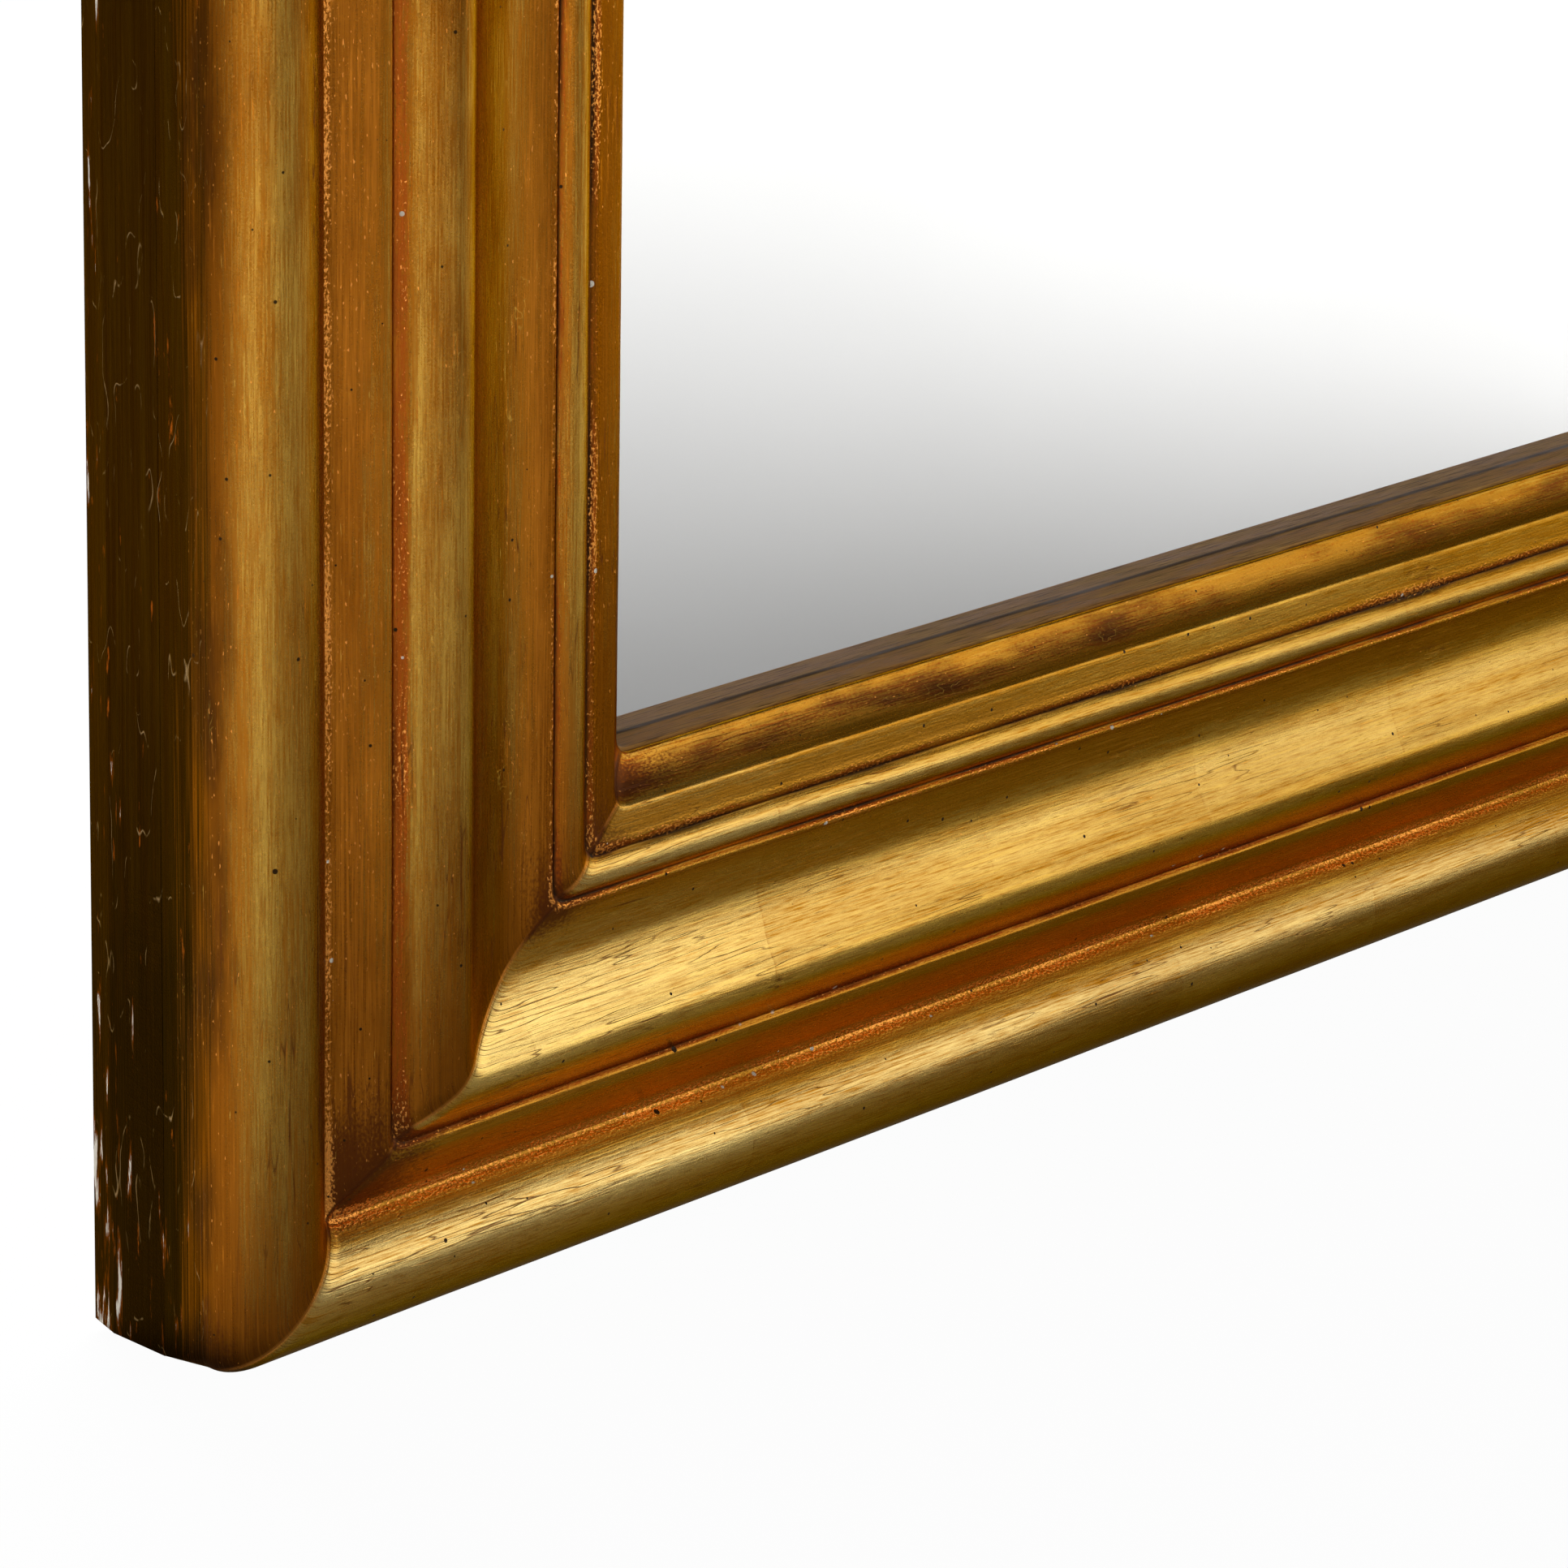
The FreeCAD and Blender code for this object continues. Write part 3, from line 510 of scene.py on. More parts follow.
def giltMaterial(look):
    material, tree = newTree("leafGildingOverBole")
    ranges = look["ranges"]
    leaf = addNode(tree, "UVMap", uv_map="leaf")
    zoneNames = [*giltZones, "mitre", "ageAndShade"]
    zone = {name: addNode(tree, "Attribute", attribute_name=name, out=2) for name in zoneNames}
    field = addPatterns(tree, leaf, look["patterns"])
    centred = {name: addNode(tree, "Math", value, 0.5, operation="SUBTRACT") for name, value in field.items()}
    edges = {name: addNode(tree, "Math", centred[name], operation="ABSOLUTE") for name in ("pore", "scratch")}
    mitreRanges = look["mitreRanges"]
    mitre = {name: addNode(tree, "MapRange", zone["mitre"], *mitreRanges[name]) for name in mitreRanges}

    # sheets of leaf lapped along the moulding
    place = addNode(tree, "SeparateXYZ", leaf)
    sheetPlace = addNode(tree, "Math", place, look["leafLength"], operation="DIVIDE")
    sheetPlace = addWeighted(tree, sheetPlace, [(field["patch"], 0.06)])
    sheetNumber = addNode(tree, "Math", sheetPlace, operation="FLOOR")
    sheet = addNode(tree, "TexWhiteNoise", None, sheetNumber, noise_dimensions="1D")
    lapLine = addNode(tree, "Math", sheetPlace, operation="FRACT")
    lapLine = addNode(tree, "MapRange", lapLine, *ranges["lapLine"])
    lapPlace = addNode(tree, "MapRange", field["streak"], *ranges["lapPlace"])
    lap = addNode(tree, "Math", lapLine, lapPlace, operation="MULTIPLY")

    # leaf worn thin, pale leaf as a painted highlight on the high rounds, near the mitres and most on the
    # bottom rail, and the wood's fine lines
    thin = addWeighted(tree, field["band"], [
        (sheet, 0.10), (centred["streak"], 0.6), (centred["grain"], 1.6), (zone["toning"], 0.6)])
    thin = addNode(tree, "MapRange", thin, *ranges["thin"])
    rubbedAndHighlight = addWeighted(tree, zone["rubbedAndHighlight"], [
        (centred["streak"], 0.8), (centred["grain"], 0.8), (mitre["mitreHighlight"], 1.0), (zone["ageAndShade"], -1.0)])
    rubbedAndHighlight = addNode(tree, "MapRange", rubbedAndHighlight, *ranges["rubbedAndHighlight"])
    hair = addNode(tree, "MapRange", field["grain"], *ranges["hair"])

    # painted shade: a brown glaze in clouds, on the sides away from the light and near their mitres, and far
    # along every side from the mitres
    paintedShadeGlaze = addNode(tree, "Math", zone["umberAndShade"], mitre["low"], operation="ADD")
    paintedShadeGlaze = addNode(tree, "Math", zone["ageAndShade"], paintedShadeGlaze, operation="MULTIPLY")
    cloud = addWeighted(tree, field["patch"], [(field["grain"], 0.7), (field["band"], 0.4)])
    paintedShadeGlaze = addNode(tree, "Math", paintedShadeGlaze, cloud, operation="MULTIPLY")
    farShadeCloud = addNode(tree, "Math", mitre["far"], field["patch"], operation="MULTIPLY")
    paintedShadeGlaze = addWeighted(tree, paintedShadeGlaze, [(farShadeCloud, 1.0)])

    # shellac toning in the hollows, with painted shade added near the mitres and on the sides away from the
    # light
    brown = addNode(tree, "Math", mitre["brown"], zone["ageAndShade"], operation="MULTIPLY")
    sideShadeUmber = addNode(tree, "Math", zone["umberAndShade"], zone["ageAndShade"], operation="MULTIPLY")
    wash = addWeighted(tree, zone["toning"], [
        (centred["band"], 0.7), (centred["streak"], 1.1), (centred["grain"], 0.9), (mitre["corner"], 0.2),
        (brown, 1.0), (sideShadeUmber, 0.5), (zone["ageAndShade"], 0.2)])
    wash = addNode(tree, "MapRange", wash, *ranges["wash"])
    rub = addWeighted(tree, field["rub"], [(zone["toning"], 0.07), (centred["patch"], 0.2)])
    rub = addNode(tree, "MapRange", rub, *ranges["rub"])

    # darker in the hollows near the mitres, painted shade under the foot of the frame, and painted shade in
    # the quirks, the sight hollow and under the roll
    mitreHollowDark = addNode(tree, "Math", mitre["mitreHollowDark"], zone["toning"], operation="MULTIPLY")
    mitreHollowDark = addWeighted(tree, mitreHollowDark, [(centred["patch"], 1.3), (centred["crumb"], 1.1)])
    mitreHollowDark = addNode(tree, "MapRange", mitreHollowDark, *ranges["mitreHollowDark"])
    above = addNode(tree, "SeparateXYZ", addNode(tree, "TexCoord", out=3), out=2)
    above = addWeighted(tree, above, [(centred["streak"], 5 * mm)])
    foot = addNode(tree, "MapRange", above, *ranges["foot"])
    dirtAndShade = addWeighted(tree, zone["sootAndShade"], [(centred["patch"], 1.2)])
    dirtAndShade = addNode(tree, "MapRange", dirtAndShade, *ranges["dirtAndShade"])

    # clay worn through the leaf, and crumbling gesso
    worn = addWeighted(tree, mitre["corner"], [(field["patch"], 2.0)])
    worn = addNode(tree, "Math", zone["bole"], worn, operation="MULTIPLY")
    clay = addWeighted(tree, worn, [(centred["crumb"], 0.8), (centred["grain"], 1.2)])
    clay = addNode(tree, "MapRange", clay, *ranges["clay"])
    crumb = addWeighted(tree, zone["crumb"], [
        (centred["crumb"], 2.6), (centred["patch"], 1.3), (mitreHollowDark, 0.22)])
    crumb = addNode(tree, "MapRange", crumb, *ranges["crumb"])

    # pores and scratches are where their noise passes through the middle value, in some places alone
    poreChance = addWeighted(tree, field["patch"], [(zone["rubbedAndHighlight"], 0.2), (mitre["pore"], 1.0)])
    lines = {}
    for name, chance in (("pore", poreChance), ("scratch", field["patch"])):
        line = addNode(tree, "MapRange", edges[name], *ranges[name + "Line"])
        linePlace = addNode(tree, "MapRange", chance, *ranges[name + "Place"])
        lines[name] = addNode(tree, "Math", line, linePlace, operation="MULTIPLY")
    pore, scratch = lines["pore"], lines["scratch"]
    nick = addWeighted(tree, field["nick"], [
        (zone["toning"], 0.04), (zone["ageAndShade"], 0.02), (centred["patch"], 0.2)])
    nick = addNode(tree, "MapRange", nick, *ranges["nick"])
    dash = addNode(tree, "MapRange", field["dash"], *ranges["dash"])

    # worm holes, dark specks and white lumps: round spots of random size, one to a cell
    spots = []
    for spacing, radius, left in look["dots"] + [look["lumps"]]:
        vector = addNode(tree, "Mapping", sockets={"Vector": leaf, "Scale": (1 / spacing,) * 3})
        cell = addNode(tree, "TexVoronoi", sockets={"Vector": vector, "Scale": 1},
                       voronoi_dimensions="2D").node
        random = addNode(tree, "SeparateXYZ", cell.outputs["Color"])
        size = addNode(tree, "MapRange", random, left, 1.0, 0.0, radius / spacing)
        spots.append(addNode(tree, "Math", cell.outputs["Distance"], size, operation="LESS_THAN"))
    speck = addNode(tree, "Math", spots[0], spots[1], operation="MAXIMUM")
    lumpPlace = addNode(tree, "MapRange", zone["crumb"], *ranges["lumpPlace"])
    lump = addNode(tree, "Math", spots[2], lumpPlace, operation="MULTIPLY")

    # the open line of the mitre
    seamPlace = addWeighted(tree, zone["toning"], [(centred["patch"], 1.6)])
    seamPlace = addNode(tree, "MapRange", seamPlace, *ranges["seamPlace"])
    seam = addNode(tree, "Math", mitre["seam"], seamPlace, operation="MULTIPLY")

    # colours laid in order
    tone = addWeighted(tree, field["streak"], [
        (centred["grain"], 0.7), (centred["band"], 0.6), (centred["patch"], 0.8)])
    tone = addNode(tree, "MapRange", tone, *ranges["tone"])
    toned = addNode(tree, "MixRGB", tone, linear(look["shellac"]), linear(look["paleShellac"]))
    young = addNode(tree, "MapRange", zone["ageAndShade"], *ranges["young"])
    toned = addNode(tree, "MixRGB", young, toned, linear(look["youngShellac"]))
    clayColour = addNode(tree, "MixRGB", field["streak"], linear(look["bole"]), linear(look["deepBole"]))
    seamDirt = addNode(tree, "MapRange", zone["toning"], *ranges["seamDirt"])
    seamColour = addNode(tree, "MixRGB", seamDirt, linear(look["crumb"]), linear(look["deepBole"]))
    bright = addNode(tree, "MixRGB", rubbedAndHighlight, linear(look["leaf"]), linear(look["rubbedHighlightLeaf"]))
    colour = addNode(tree, "MixRGB", thin, bright, linear(look["thinLeaf"]))
    colour = addLayers(tree, colour, [
        (lap, look["shellac"]), (hair, look["hair"]), (wash, toned), (paintedShadeGlaze, look["umberAndShade"]), (rub, toned),
        (clay, clayColour), (mitreHollowDark, look["deepBole"]), (foot, look["sootAndShade"]), (dirtAndShade, look["sootAndShade"]),
        (crumb, look["crumb"]), (pore, look["deepBole"]), (dash, look["leaf"]), (nick, look["crumb"]),
        (scratch, look["leaf"]), (speck, look["sootAndShade"]), (seam, seamColour), (lump, look["gesso"])])

    # the toned side below the roll, with an uneven upper edge
    sideColour, chip, sideHeight = tonedSide(tree, tonedSides)
    sideEdge = addWeighted(tree, frameCoords(tree)[1], [
        (centred["band"], 18 * mm), (centred["streak"], 22 * mm)])
    side = addNode(tree, "MapRange", sideEdge, *ranges["side"])
    colour = addNode(tree, "MixRGB", side, colour, sideColour)

    # what is dull is less of a metal and rougher
    dull = addNode(tree, "Math", dirtAndShade, 0.3, operation="MULTIPLY")
    dull = addWeighted(tree, dull, [
        (clay, 0.1), (mitreHollowDark, 0.2), (speck, 0.6), (pore, 0.2), (seam, 0.1), (lump, 1.0), (crumb, -0.2)])
    dullChip = addNode(tree, "Math", chip, 0.8, operation="MULTIPLY")
    dull = addNode(tree, "Mix", side, None, dull, dullChip, data_type="FLOAT")
    metal = addNode(tree, "MapRange", dull, 0, 1, 1, 0)
    rough = addNode(tree, "MapRange", field["streak"], *ranges["rough"])
    rough = addWeighted(tree, rough, [(centred["fleck"], 0.3), (wash, 0.06), (dull, 0.2), (crumb, -0.06)])
    crumbRise = addNode(tree, "Math", field["crumb"], zone["crumb"], operation="MULTIPLY")
    sideRise = addNode(tree, "Math", side, sideHeight, operation="MULTIPLY")
    height = addNode(tree, "Math", field["streak"], 0.035, operation="MULTIPLY")
    height = addWeighted(tree, height, [
        (field["fleck"], 0.014), (field["grain"], 0.045), (field["patch"], 0.22), (pore, -0.05),
        (clay, -0.04), (crumbRise, 0.32), (speck, -0.3), (seam, 0.15), (lump, 0.3), (scratch, 0.05),
        (sideRise, 0.12)])
    addSurface(tree, colour, metal, rough, height, edge=look["edge"])
    return material


# Aged pine: growth rings round a pith outside the board, late wood darker, with fine fibres and brown dirt.
# Planed on the frame, sawn on the boards, where the saw left lines across the grain. Real fibres are too
# fine to show and are drawn about ten times as wide.

pine = {
    "early": "#AE8656", "late": "#7A5129", "dirtAndShade": "#463019", "knot": "#54290D",
    "ring": 4.2 * mm, "pith": (34 * mm, 21 * mm),
    "patterns": {"sway": (420, 60, 2, 0.5), "fibre": (38, 0.45, 4, 0.6), "stain": (140, 45, 5, 0.6)},
    "knotLength": 0.46, "knotWidth": 0.15, "knotSize": 0.11,       # a knot's cell in metres, its share of it
    "sawSpacing": 3.4 * mm,
    "ranges": {"missing": (0.35, 0.9), "late": (0.25, 0.95, 0, 1), "fibre": (0.35, 0.7, 0, 0.5),
               "stain": (0.42, 0.75), "rough": (0.3, 0.7, 0.62, 0.78), "kerf": (0.2, 1, 0, 0.07),
               "paint": (4.6 * mm, 4.0 * mm, 0, 1)},               # how far the side's toning runs over
}


def pineMaterial(name, look, lengthwise, ageAndShade, sawn=False, toned=False):
    material, tree = newTree(name)
    ranges = look["ranges"]
    place = addNode(tree, "TexCoord", out=3)
    x, y, z = (addNode(tree, "SeparateXYZ", place, out=i) for i in range(3))
    along, across = (x, z) if lengthwise == "x" else (z, x)
    grain = addNode(tree, "CombineXYZ", along, across, y)
    field = addPatterns(tree, grain, look["patterns"])
    sway = addNode(tree, "Math", field["sway"], 0.5, operation="SUBTRACT")

    # knots: cells far apart, most with no knot, which push the rings aside
    knotSize = look["knotSize"]
    knotPlace = addNode(tree, "Mapping", sockets={
        "Vector": grain, "Scale": (1 / look["knotLength"], 1 / look["knotWidth"], 0)})
    cell = addNode(tree, "TexVoronoi", sockets={"Vector": knotPlace, "Scale": 1},
                   voronoi_dimensions="2D").node
    random = addNode(tree, "SeparateXYZ", cell.outputs["Color"])
    missing = addNode(tree, "MapRange", random, *ranges["missing"], knotSize, 0)
    fromKnot = addNode(tree, "Math", cell.outputs["Distance"], missing, operation="ADD")
    knot = addNode(tree, "MapRange", fromKnot, knotSize * 0.55, knotSize * 0.4, 0, 0.8)
    push = addNode(tree, "MapRange", fromKnot, 0, knotSize * 2.2, 0.02, 0, interpolation_type="SMOOTHSTEP")

    # rings by distance from the pith
    side = addNode(tree, "Math", across, look["pith"][0], operation="ADD")
    side = addWeighted(tree, side, [(sway, 0.05), (push, 1.0)])
    deep = addNode(tree, "Math", y, look["pith"][1], operation="SUBTRACT")
    deep = addWeighted(tree, deep, [(sway, 0.02)])
    fromPith = addNode(tree, "CombineXYZ", side, deep, 0.0)
    radius = addNode(tree, "VectorMath", fromPith, operation="LENGTH", out=1)
    ring = addNode(tree, "Math", radius, look["ring"], operation="DIVIDE")
    ring = addNode(tree, "Math", ring, operation="FRACT")
    late = addNode(tree, "Math", addNode(tree, "MapRange", ring, *ranges["late"]), 2.0, operation="POWER")
    fibre = addNode(tree, "MapRange", field["fibre"], *ranges["fibre"])
    stain = addNode(tree, "MapRange", field["stain"], *ranges["stain"], ageAndShade * 0.5, ageAndShade)
    colour = addNode(tree, "MixRGB", late, linear(look["early"]), linear(look["late"]))
    colour = addLayers(tree, colour, [(fibre, look["late"]), (knot, look["knot"]), (stain, look["dirtAndShade"])])
    height = addNode(tree, "Math", late, 0.06, operation="MULTIPLY")
    height = addWeighted(tree, height, [(field["fibre"], 0.12)])
    rough = addNode(tree, "MapRange", field["fibre"], *ranges["rough"])
    metal, edge = 0.0, "#FFFFFF"
    if sawn:
        kerf = addNode(tree, "Math", along, 2 * math.pi / look["sawSpacing"], operation="MULTIPLY")
        kerf = addNode(tree, "Math", addWeighted(tree, kerf, [(field["stain"], 9.0)]), operation="SINE")
        height = addWeighted(tree, height, [(kerf, 0.05)])
        colour = addLayers(tree, colour, [(addNode(tree, "MapRange", kerf, *ranges["kerf"]), look["dirtAndShade"])])
    if toned:
        sideColour, chip, sideHeight = tonedSide(tree, tonedSides)
        inset = addWeighted(tree, frameCoords(tree)[2], [(sway, -6 * mm)])
        paint = addNode(tree, "MapRange", inset, *ranges["paint"])
        colour = addNode(tree, "MixRGB", paint, colour, sideColour)
        paintHeight = addNode(tree, "Math", paint, sideHeight, operation="MULTIPLY")
        height = addWeighted(tree, height, [(paintHeight, 0.12)])
        rough = addWeighted(tree, rough, [(paint, -0.2)])
        whole = addNode(tree, "MapRange", chip, 0, 1, 1, 0)
        metal = addNode(tree, "Math", whole, paint, operation="MULTIPLY")
        edge = addNode(tree, "MixRGB", paint, linear(edge), linear(tonedSides["edge"]))
    addSurface(tree, colour, metal, rough, height, edge=edge)
    return material


# Toned slip: thin brown distemper on pine, matt, worn along the grain, with painted shade where it meets the
# glass and on the sides away from the light.
# Its grain is drawn about as wide as the pine's fibres, to show.

slipPaint = {
    "paint": "#B07A3C", "worn": "#C89A58", "dark": "#40260C", "edge": "#E6BC78", "gloss": 0.08,
    "patterns": {"grain": (16, 0.5, 4, 0.65), "cloud": (40, 6, 4, 0.6)},
    "ranges": {"worn": (0.4, 0.66, 0, 1), "pore": (0.5, 0.66, 0, 0.85), "rough": (0, 1, 0.5, 0.66),
               "dirtAndShade": (42.4 * mm, 41.6 * mm, 0, 0.9)},            # by depth
}


def slipMaterial(look):
    material, tree = newTree("distemperOnPine")
    ranges = look["ranges"]
    field = addPatterns(tree, addNode(tree, "UVMap", uv_map="leaf"), look["patterns"])
    worn = addNode(tree, "MapRange", field["cloud"], *ranges["worn"])
    pore = addNode(tree, "MapRange", field["grain"], *ranges["pore"])
    colour = addNode(tree, "MixRGB", worn, linear(look["paint"]), linear(look["worn"]))
    # painted shade where the slip meets the glass
    joint = addWeighted(tree, frameCoords(tree)[1], [(field["grain"], 1.6 * mm)])
    dirtAndShade = addNode(tree, "MapRange", joint, *ranges["dirtAndShade"])
    # painted shade: each side of the slip darker by its shade amount
    ageAndShade = addNode(tree, "Attribute", attribute_name="ageAndShade", out=2)
    ageAndShade = addNode(tree, "Math", ageAndShade, 0.5, operation="MULTIPLY")
    colour = addLayers(tree, colour, [(ageAndShade, look["dark"]), (pore, look["dark"]), (dirtAndShade, look["dark"])])
    height = addNode(tree, "Math", pore, -0.1, operation="MULTIPLY")
    height = addWeighted(tree, height, [(field["cloud"], 0.1)])
    rough = addNode(tree, "MapRange", worn, *ranges["rough"])
    addSurface(tree, colour, 0.0, rough, height, gloss=look["gloss"], edge=look["edge"])
    return material


# Beech dowels cut flush: pale end grain with short rays and fine pores, which are drawn several times
# too wide, to show

beech = {
    "pale": "#C49A6C", "ray": "#7C4F2C", "pore": "#5A3820",
    "patterns": {"ray": (0.35, 3.2, 3, 0.6), "pore": (0.4, 0.4, 2, 0.6)},
    "ranges": {"ray": (0.5, 0.7, 0, 0.8), "pore": (0.58, 0.68, 0, 0.8), "rough": (0, 1, 0.6, 0.75)},
}


def beechMaterial(look):
    material, tree = newTree("beechEndGrain")
    place = addNode(tree, "TexCoord", out=3)
    x, z = (addNode(tree, "SeparateXYZ", place, out=i) for i in (0, 2))
    field = addPatterns(tree, addNode(tree, "CombineXYZ", x, z), look["patterns"])
    ray, pore = (addNode(tree, "MapRange", field[name], *look["ranges"][name]) for name in ("ray", "pore"))
    colour = addLayers(tree, linear(look["pale"]), [(ray, look["ray"]), (pore, look["pore"])])
    height = addNode(tree, "Math", pore, -0.15, operation="MULTIPLY")
    addSurface(tree, colour, 0.0, addNode(tree, "MapRange", ray, *look["ranges"]["rough"]), height)
    return material


# Pressed cork: granules of a few shades with dark gaps between them

cork = {
    "pale": "#B98A56", "brown": "#7A4E29", "gap": "#3A2212", "granule": 2.2 * mm,
    "ranges": {"gap": (0.0, 0.09, 1, 0), "rough": (0, 1, 0.7, 0.85)},
}


def corkMaterial(look):
    material, tree = newTree("pressedCork")
    vector = addNode(tree, "Mapping", sockets={
        "Vector": addNode(tree, "TexCoord", out=3), "Scale": (1 / look["granule"],) * 3})
    cell = addNode(tree, "TexVoronoi", sockets={"Vector": vector, "Scale": 1}).node
    wall = addNode(tree, "TexVoronoi", sockets={"Vector": vector, "Scale": 1}, feature="DISTANCE_TO_EDGE")
    shade = addNode(tree, "SeparateXYZ", cell.outputs["Color"])
    gap = addNode(tree, "MapRange", wall, *look["ranges"]["gap"])
    colour = addNode(tree, "MixRGB", shade, linear(look["pale"]), linear(look["brown"]))
    colour = addNode(tree, "MixRGB", gap, colour, linear(look["gap"]))
    height = addNode(tree, "Math", gap, -0.2, operation="MULTIPLY")
    addSurface(tree, colour, 0.0, addNode(tree, "MapRange", shade, *look["ranges"]["rough"]), height)
    return material


# Rolled iron and turned steel gone dull: grey metal, brown where rust has started. The lines from the
# rolls and the lathe are drawn several times too wide, to show.

hangerIron = {"metal": "#8C857C", "dark": "#4C4640", "rust": "#5A3118", "rustStart": 0.56,
              "patterns": {"roll": (14, 0.5, 3, 0.6), "rust": (5, 5, 5, 0.65)}}
screwSteel = {"metal": "#A39C90", "dark": "#5F5850", "rust": "#54301A", "rustStart": 0.62,
              "patterns": {"roll": (3, 0.3, 3, 0.6), "rust": (3, 3, 5, 0.65)}}
ironRanges = {"roll": (0.35, 0.68, 0, 1), "rustGrowth": 0.1, "rustMost": 0.9,
              "rough": (0, 1, 0.34, 0.5), "metal": (0, 1, 1, 0.1)}


def ironMaterial(name, look, ranges):
    material, tree = newTree(name)
    field = addPatterns(tree, addNode(tree, "TexCoord", out=3), look["patterns"])
    roll = addNode(tree, "MapRange", field["roll"], *ranges["roll"])
    rustFull = look["rustStart"] + ranges["rustGrowth"]
    rust = addNode(tree, "MapRange", field["rust"], look["rustStart"], rustFull, 0, ranges["rustMost"])
    colour = addNode(tree, "MixRGB", roll, linear(look["metal"]), linear(look["dark"]))
    colour = addNode(tree, "MixRGB", rust, colour, linear(look["rust"]))
    height = addWeighted(tree, addNode(tree, "Math", roll, 0.01, operation="MULTIPLY"), [(rust, 0.05)])
    rough = addWeighted(tree, addNode(tree, "MapRange", roll, *ranges["rough"]), [(rust, 0.3)])
    addSurface(tree, colour, addNode(tree, "MapRange", rust, *ranges["metal"]), rough, height)
    return material


# Silvered plate glass: a clear mirror with a breath of haze

silverGlass = {
    "silver": "#F3F3F2", "haze": "#EEEEED",
    "patterns": {"haze": (240, 180, 3, 0.5)},
    "ranges": {"haze": (0.35, 0.7, 0, 1), "rough": (0, 1, 0.012, 0.02)},
}


def glassMaterial(look):
    material, tree = newTree("silveredPlateGlass")
    place = addNode(tree, "TexCoord", out=3)
    x, z = (addNode(tree, "SeparateXYZ", place, out=i) for i in (0, 2))
    field = addPatterns(tree, addNode(tree, "CombineXYZ", x, z), look["patterns"])
    haze = addNode(tree, "MapRange", field["haze"], *look["ranges"]["haze"])
    rough = addNode(tree, "MapRange", haze, *look["ranges"]["rough"])
    colour = addNode(tree, "MixRGB", haze, linear(look["silver"]), linear(look["haze"]))
    shader = addNode(tree, "BsdfPrincipled", sockets={
        "Base Color": colour, "Metallic": 1.0, "Roughness": rough})
    tree.links.new(shader, tree.nodes.new("ShaderNodeOutputMaterial").inputs["Surface"])
    return material


# Finishes given to the pieces and to the CAD nodes that stay

giltFinish, slipFinish = giltMaterial(gilding), slipMaterial(slipPaint)
for group, finish in ((giltPieces, giltFinish), (slipPieces, slipFinish)):
    for piece in group:
        piece.data.materials.append(finish)
ironFinish = ironMaterial("rolledIron", hangerIron, ironRanges)
steelFinish = ironMaterial("turnedSteel", screwSteel, ironRanges)
nodeFinishes = {                                 # by the ending of a node's name
    "back_stile": pineMaterial("planedPineUpright", pine, "z", ageAndShade=0.55, toned=True),
    "back_rail": pineMaterial("planedPineLevel", pine, "x", ageAndShade=0.55, toned=True),
    "backboard": pineMaterial("sawnPineBoard", pine, "x", ageAndShade=0.7, sawn=True),
    "plate_blocks": pineMaterial("sawnPineBlock", pine, "z", ageAndShade=0.3, sawn=True),
    "lap_dowels": beechMaterial(beech), "wall_pads": corkMaterial(cork), "screws": steelFinish,
    "hanger_strap": ironFinish, "hanger_ring": ironFinish, "mirror_plate": glassMaterial(silverGlass),
}
for nodeName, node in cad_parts.items():
    for ending, finish in nodeFinishes.items():
        if nodeName.endswith(ending):
            node.data.materials.clear()
            node.data.materials.append(finish)
print("finishes given:", len(bpy.data.materials))


# Stage: a pale floor that is white to the camera and paler in reflections, and five soft lamps

stage = {
    "floor": "#C4C4C4", "reach": 40.0, "whiteSeen": 0.97, "whiteMirrored": 0.105,
    "horizon": 0.3, "zenith": 0.12, "skyBand": (0.2, 0.65),        # light of the world, low and high
    "lamps": {                                   # place, aim, size, power, spread in degrees
        "top": ((1.3, 1.3, 2.5), (0.4, -0.8, -0.7), (2.6, 2.6), 345, 180),         # high behind on the right
        "side": ((1.28, -1.4, -0.04), (-0.25, 0, -0.44), (1.5, 1.3), 7.9, 180),    # in front on the right
        "fill": ((-2.4, -2.6, 0.6), (-0.4, 0, -0.4), (1.6, 1.6), 6, 180),          # beside the camera
        "left": ((-2.0, -1.2, 1.3), (-2.0, -1.2, -0.7), (1.6, 1.6), 48, 70),       # down on the floor
        "right": ((1.35, -1.5, 1.3), (1.35, -1.5, -0.7), (1.6, 1.6), 4, 70),
    },
}


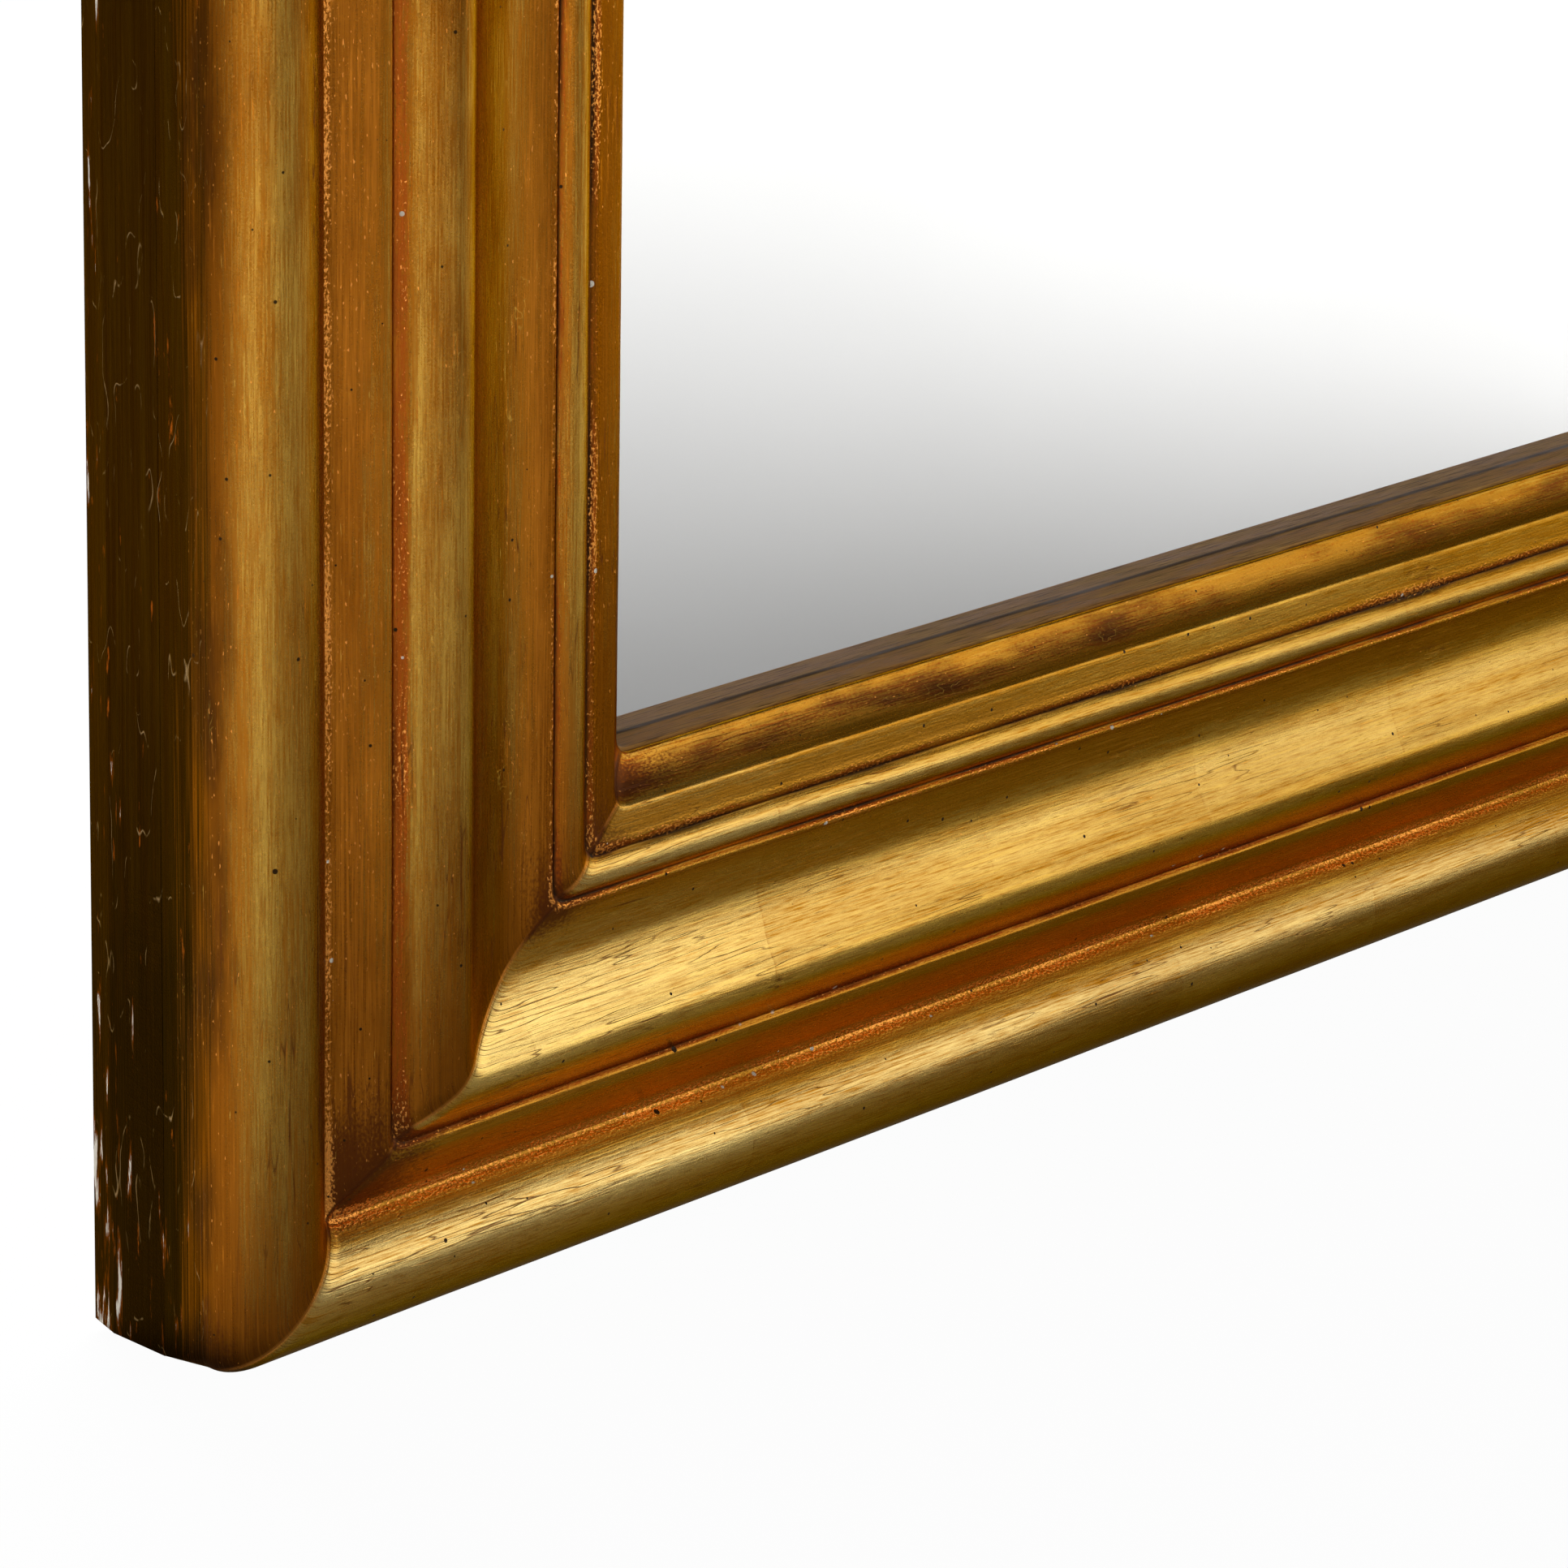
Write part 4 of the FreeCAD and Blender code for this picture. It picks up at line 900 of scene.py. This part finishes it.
def addFloor(look):
    # Matt to light, and glowing by set amounts to the camera and to reflections
    reach = look["reach"]
    mesh = bpy.data.meshes.new("floor")
    corners = [(-reach, -reach), (reach, -reach), (reach, reach), (-reach, reach)]
    mesh.from_pydata([(x, y, -halfHeight) for x, y in corners], [], [(0, 1, 2, 3)])
    floor = bpy.data.objects.new("floor", mesh)
    bpy.context.scene.collection.objects.link(floor)
    material, tree = newTree("paleFloor")
    seen = addNode(tree, "LightPath", out=0)
    mirrored = addNode(tree, "LightPath", out=3)
    white = addNode(tree, "Math", seen, look["whiteSeen"], operation="MULTIPLY")
    white = addWeighted(tree, white, [(mirrored, look["whiteMirrored"])])
    matt = addNode(tree, "BsdfDiffuse", linear(look["floor"]))
    glow = addNode(tree, "Emission", (1, 1, 1, 1), 1.0)
    both = addNode(tree, "MixShader", white, matt, glow)
    tree.links.new(both, tree.nodes.new("ShaderNodeOutputMaterial").inputs["Surface"])
    mesh.materials.append(material)


def addLamp(name, place, aim, size, power, spread):
    data = bpy.data.lights.new(name, "AREA")
    data.shape = "RECTANGLE"
    data.size, data.size_y = size
    data.energy = power
    data.spread = math.radians(spread)
    lamp = bpy.data.objects.new(name, data)
    lamp.location = place
    lamp.rotation_euler = (Vector(aim) - Vector(place)).to_track_quat("-Z", "Y").to_euler()
    lamp.visible_camera = False
    bpy.context.scene.collection.objects.link(lamp)


def addWorld(look):
    # White to the camera; as light it fades from the horizon to the zenith
    world = bpy.data.worlds.new("studio")
    bpy.context.scene.world = world
    world.use_nodes = True
    tree = world.node_tree
    tree.nodes.clear()
    direction = addNode(tree, "TexCoord", out=0)
    height = addNode(tree, "SeparateXYZ", direction, out=2)
    level = addNode(tree, "MapRange", height, *look["skyBand"], look["horizon"], look["zenith"])
    seen = addNode(tree, "LightPath", out=0)
    strength = addNode(tree, "Math", seen, level, operation="MAXIMUM")
    sky = addNode(tree, "Background", (1, 1, 1, 1), strength)
    tree.links.new(sky, tree.nodes.new("ShaderNodeOutputWorld").inputs["Surface"])


addFloor(stage)
for lampName, lampValues in stage["lamps"].items():
    addLamp(lampName, *lampValues)
addWorld(stage)
bpy.context.scene.view_settings.view_transform = "Standard"
print("stage lit")
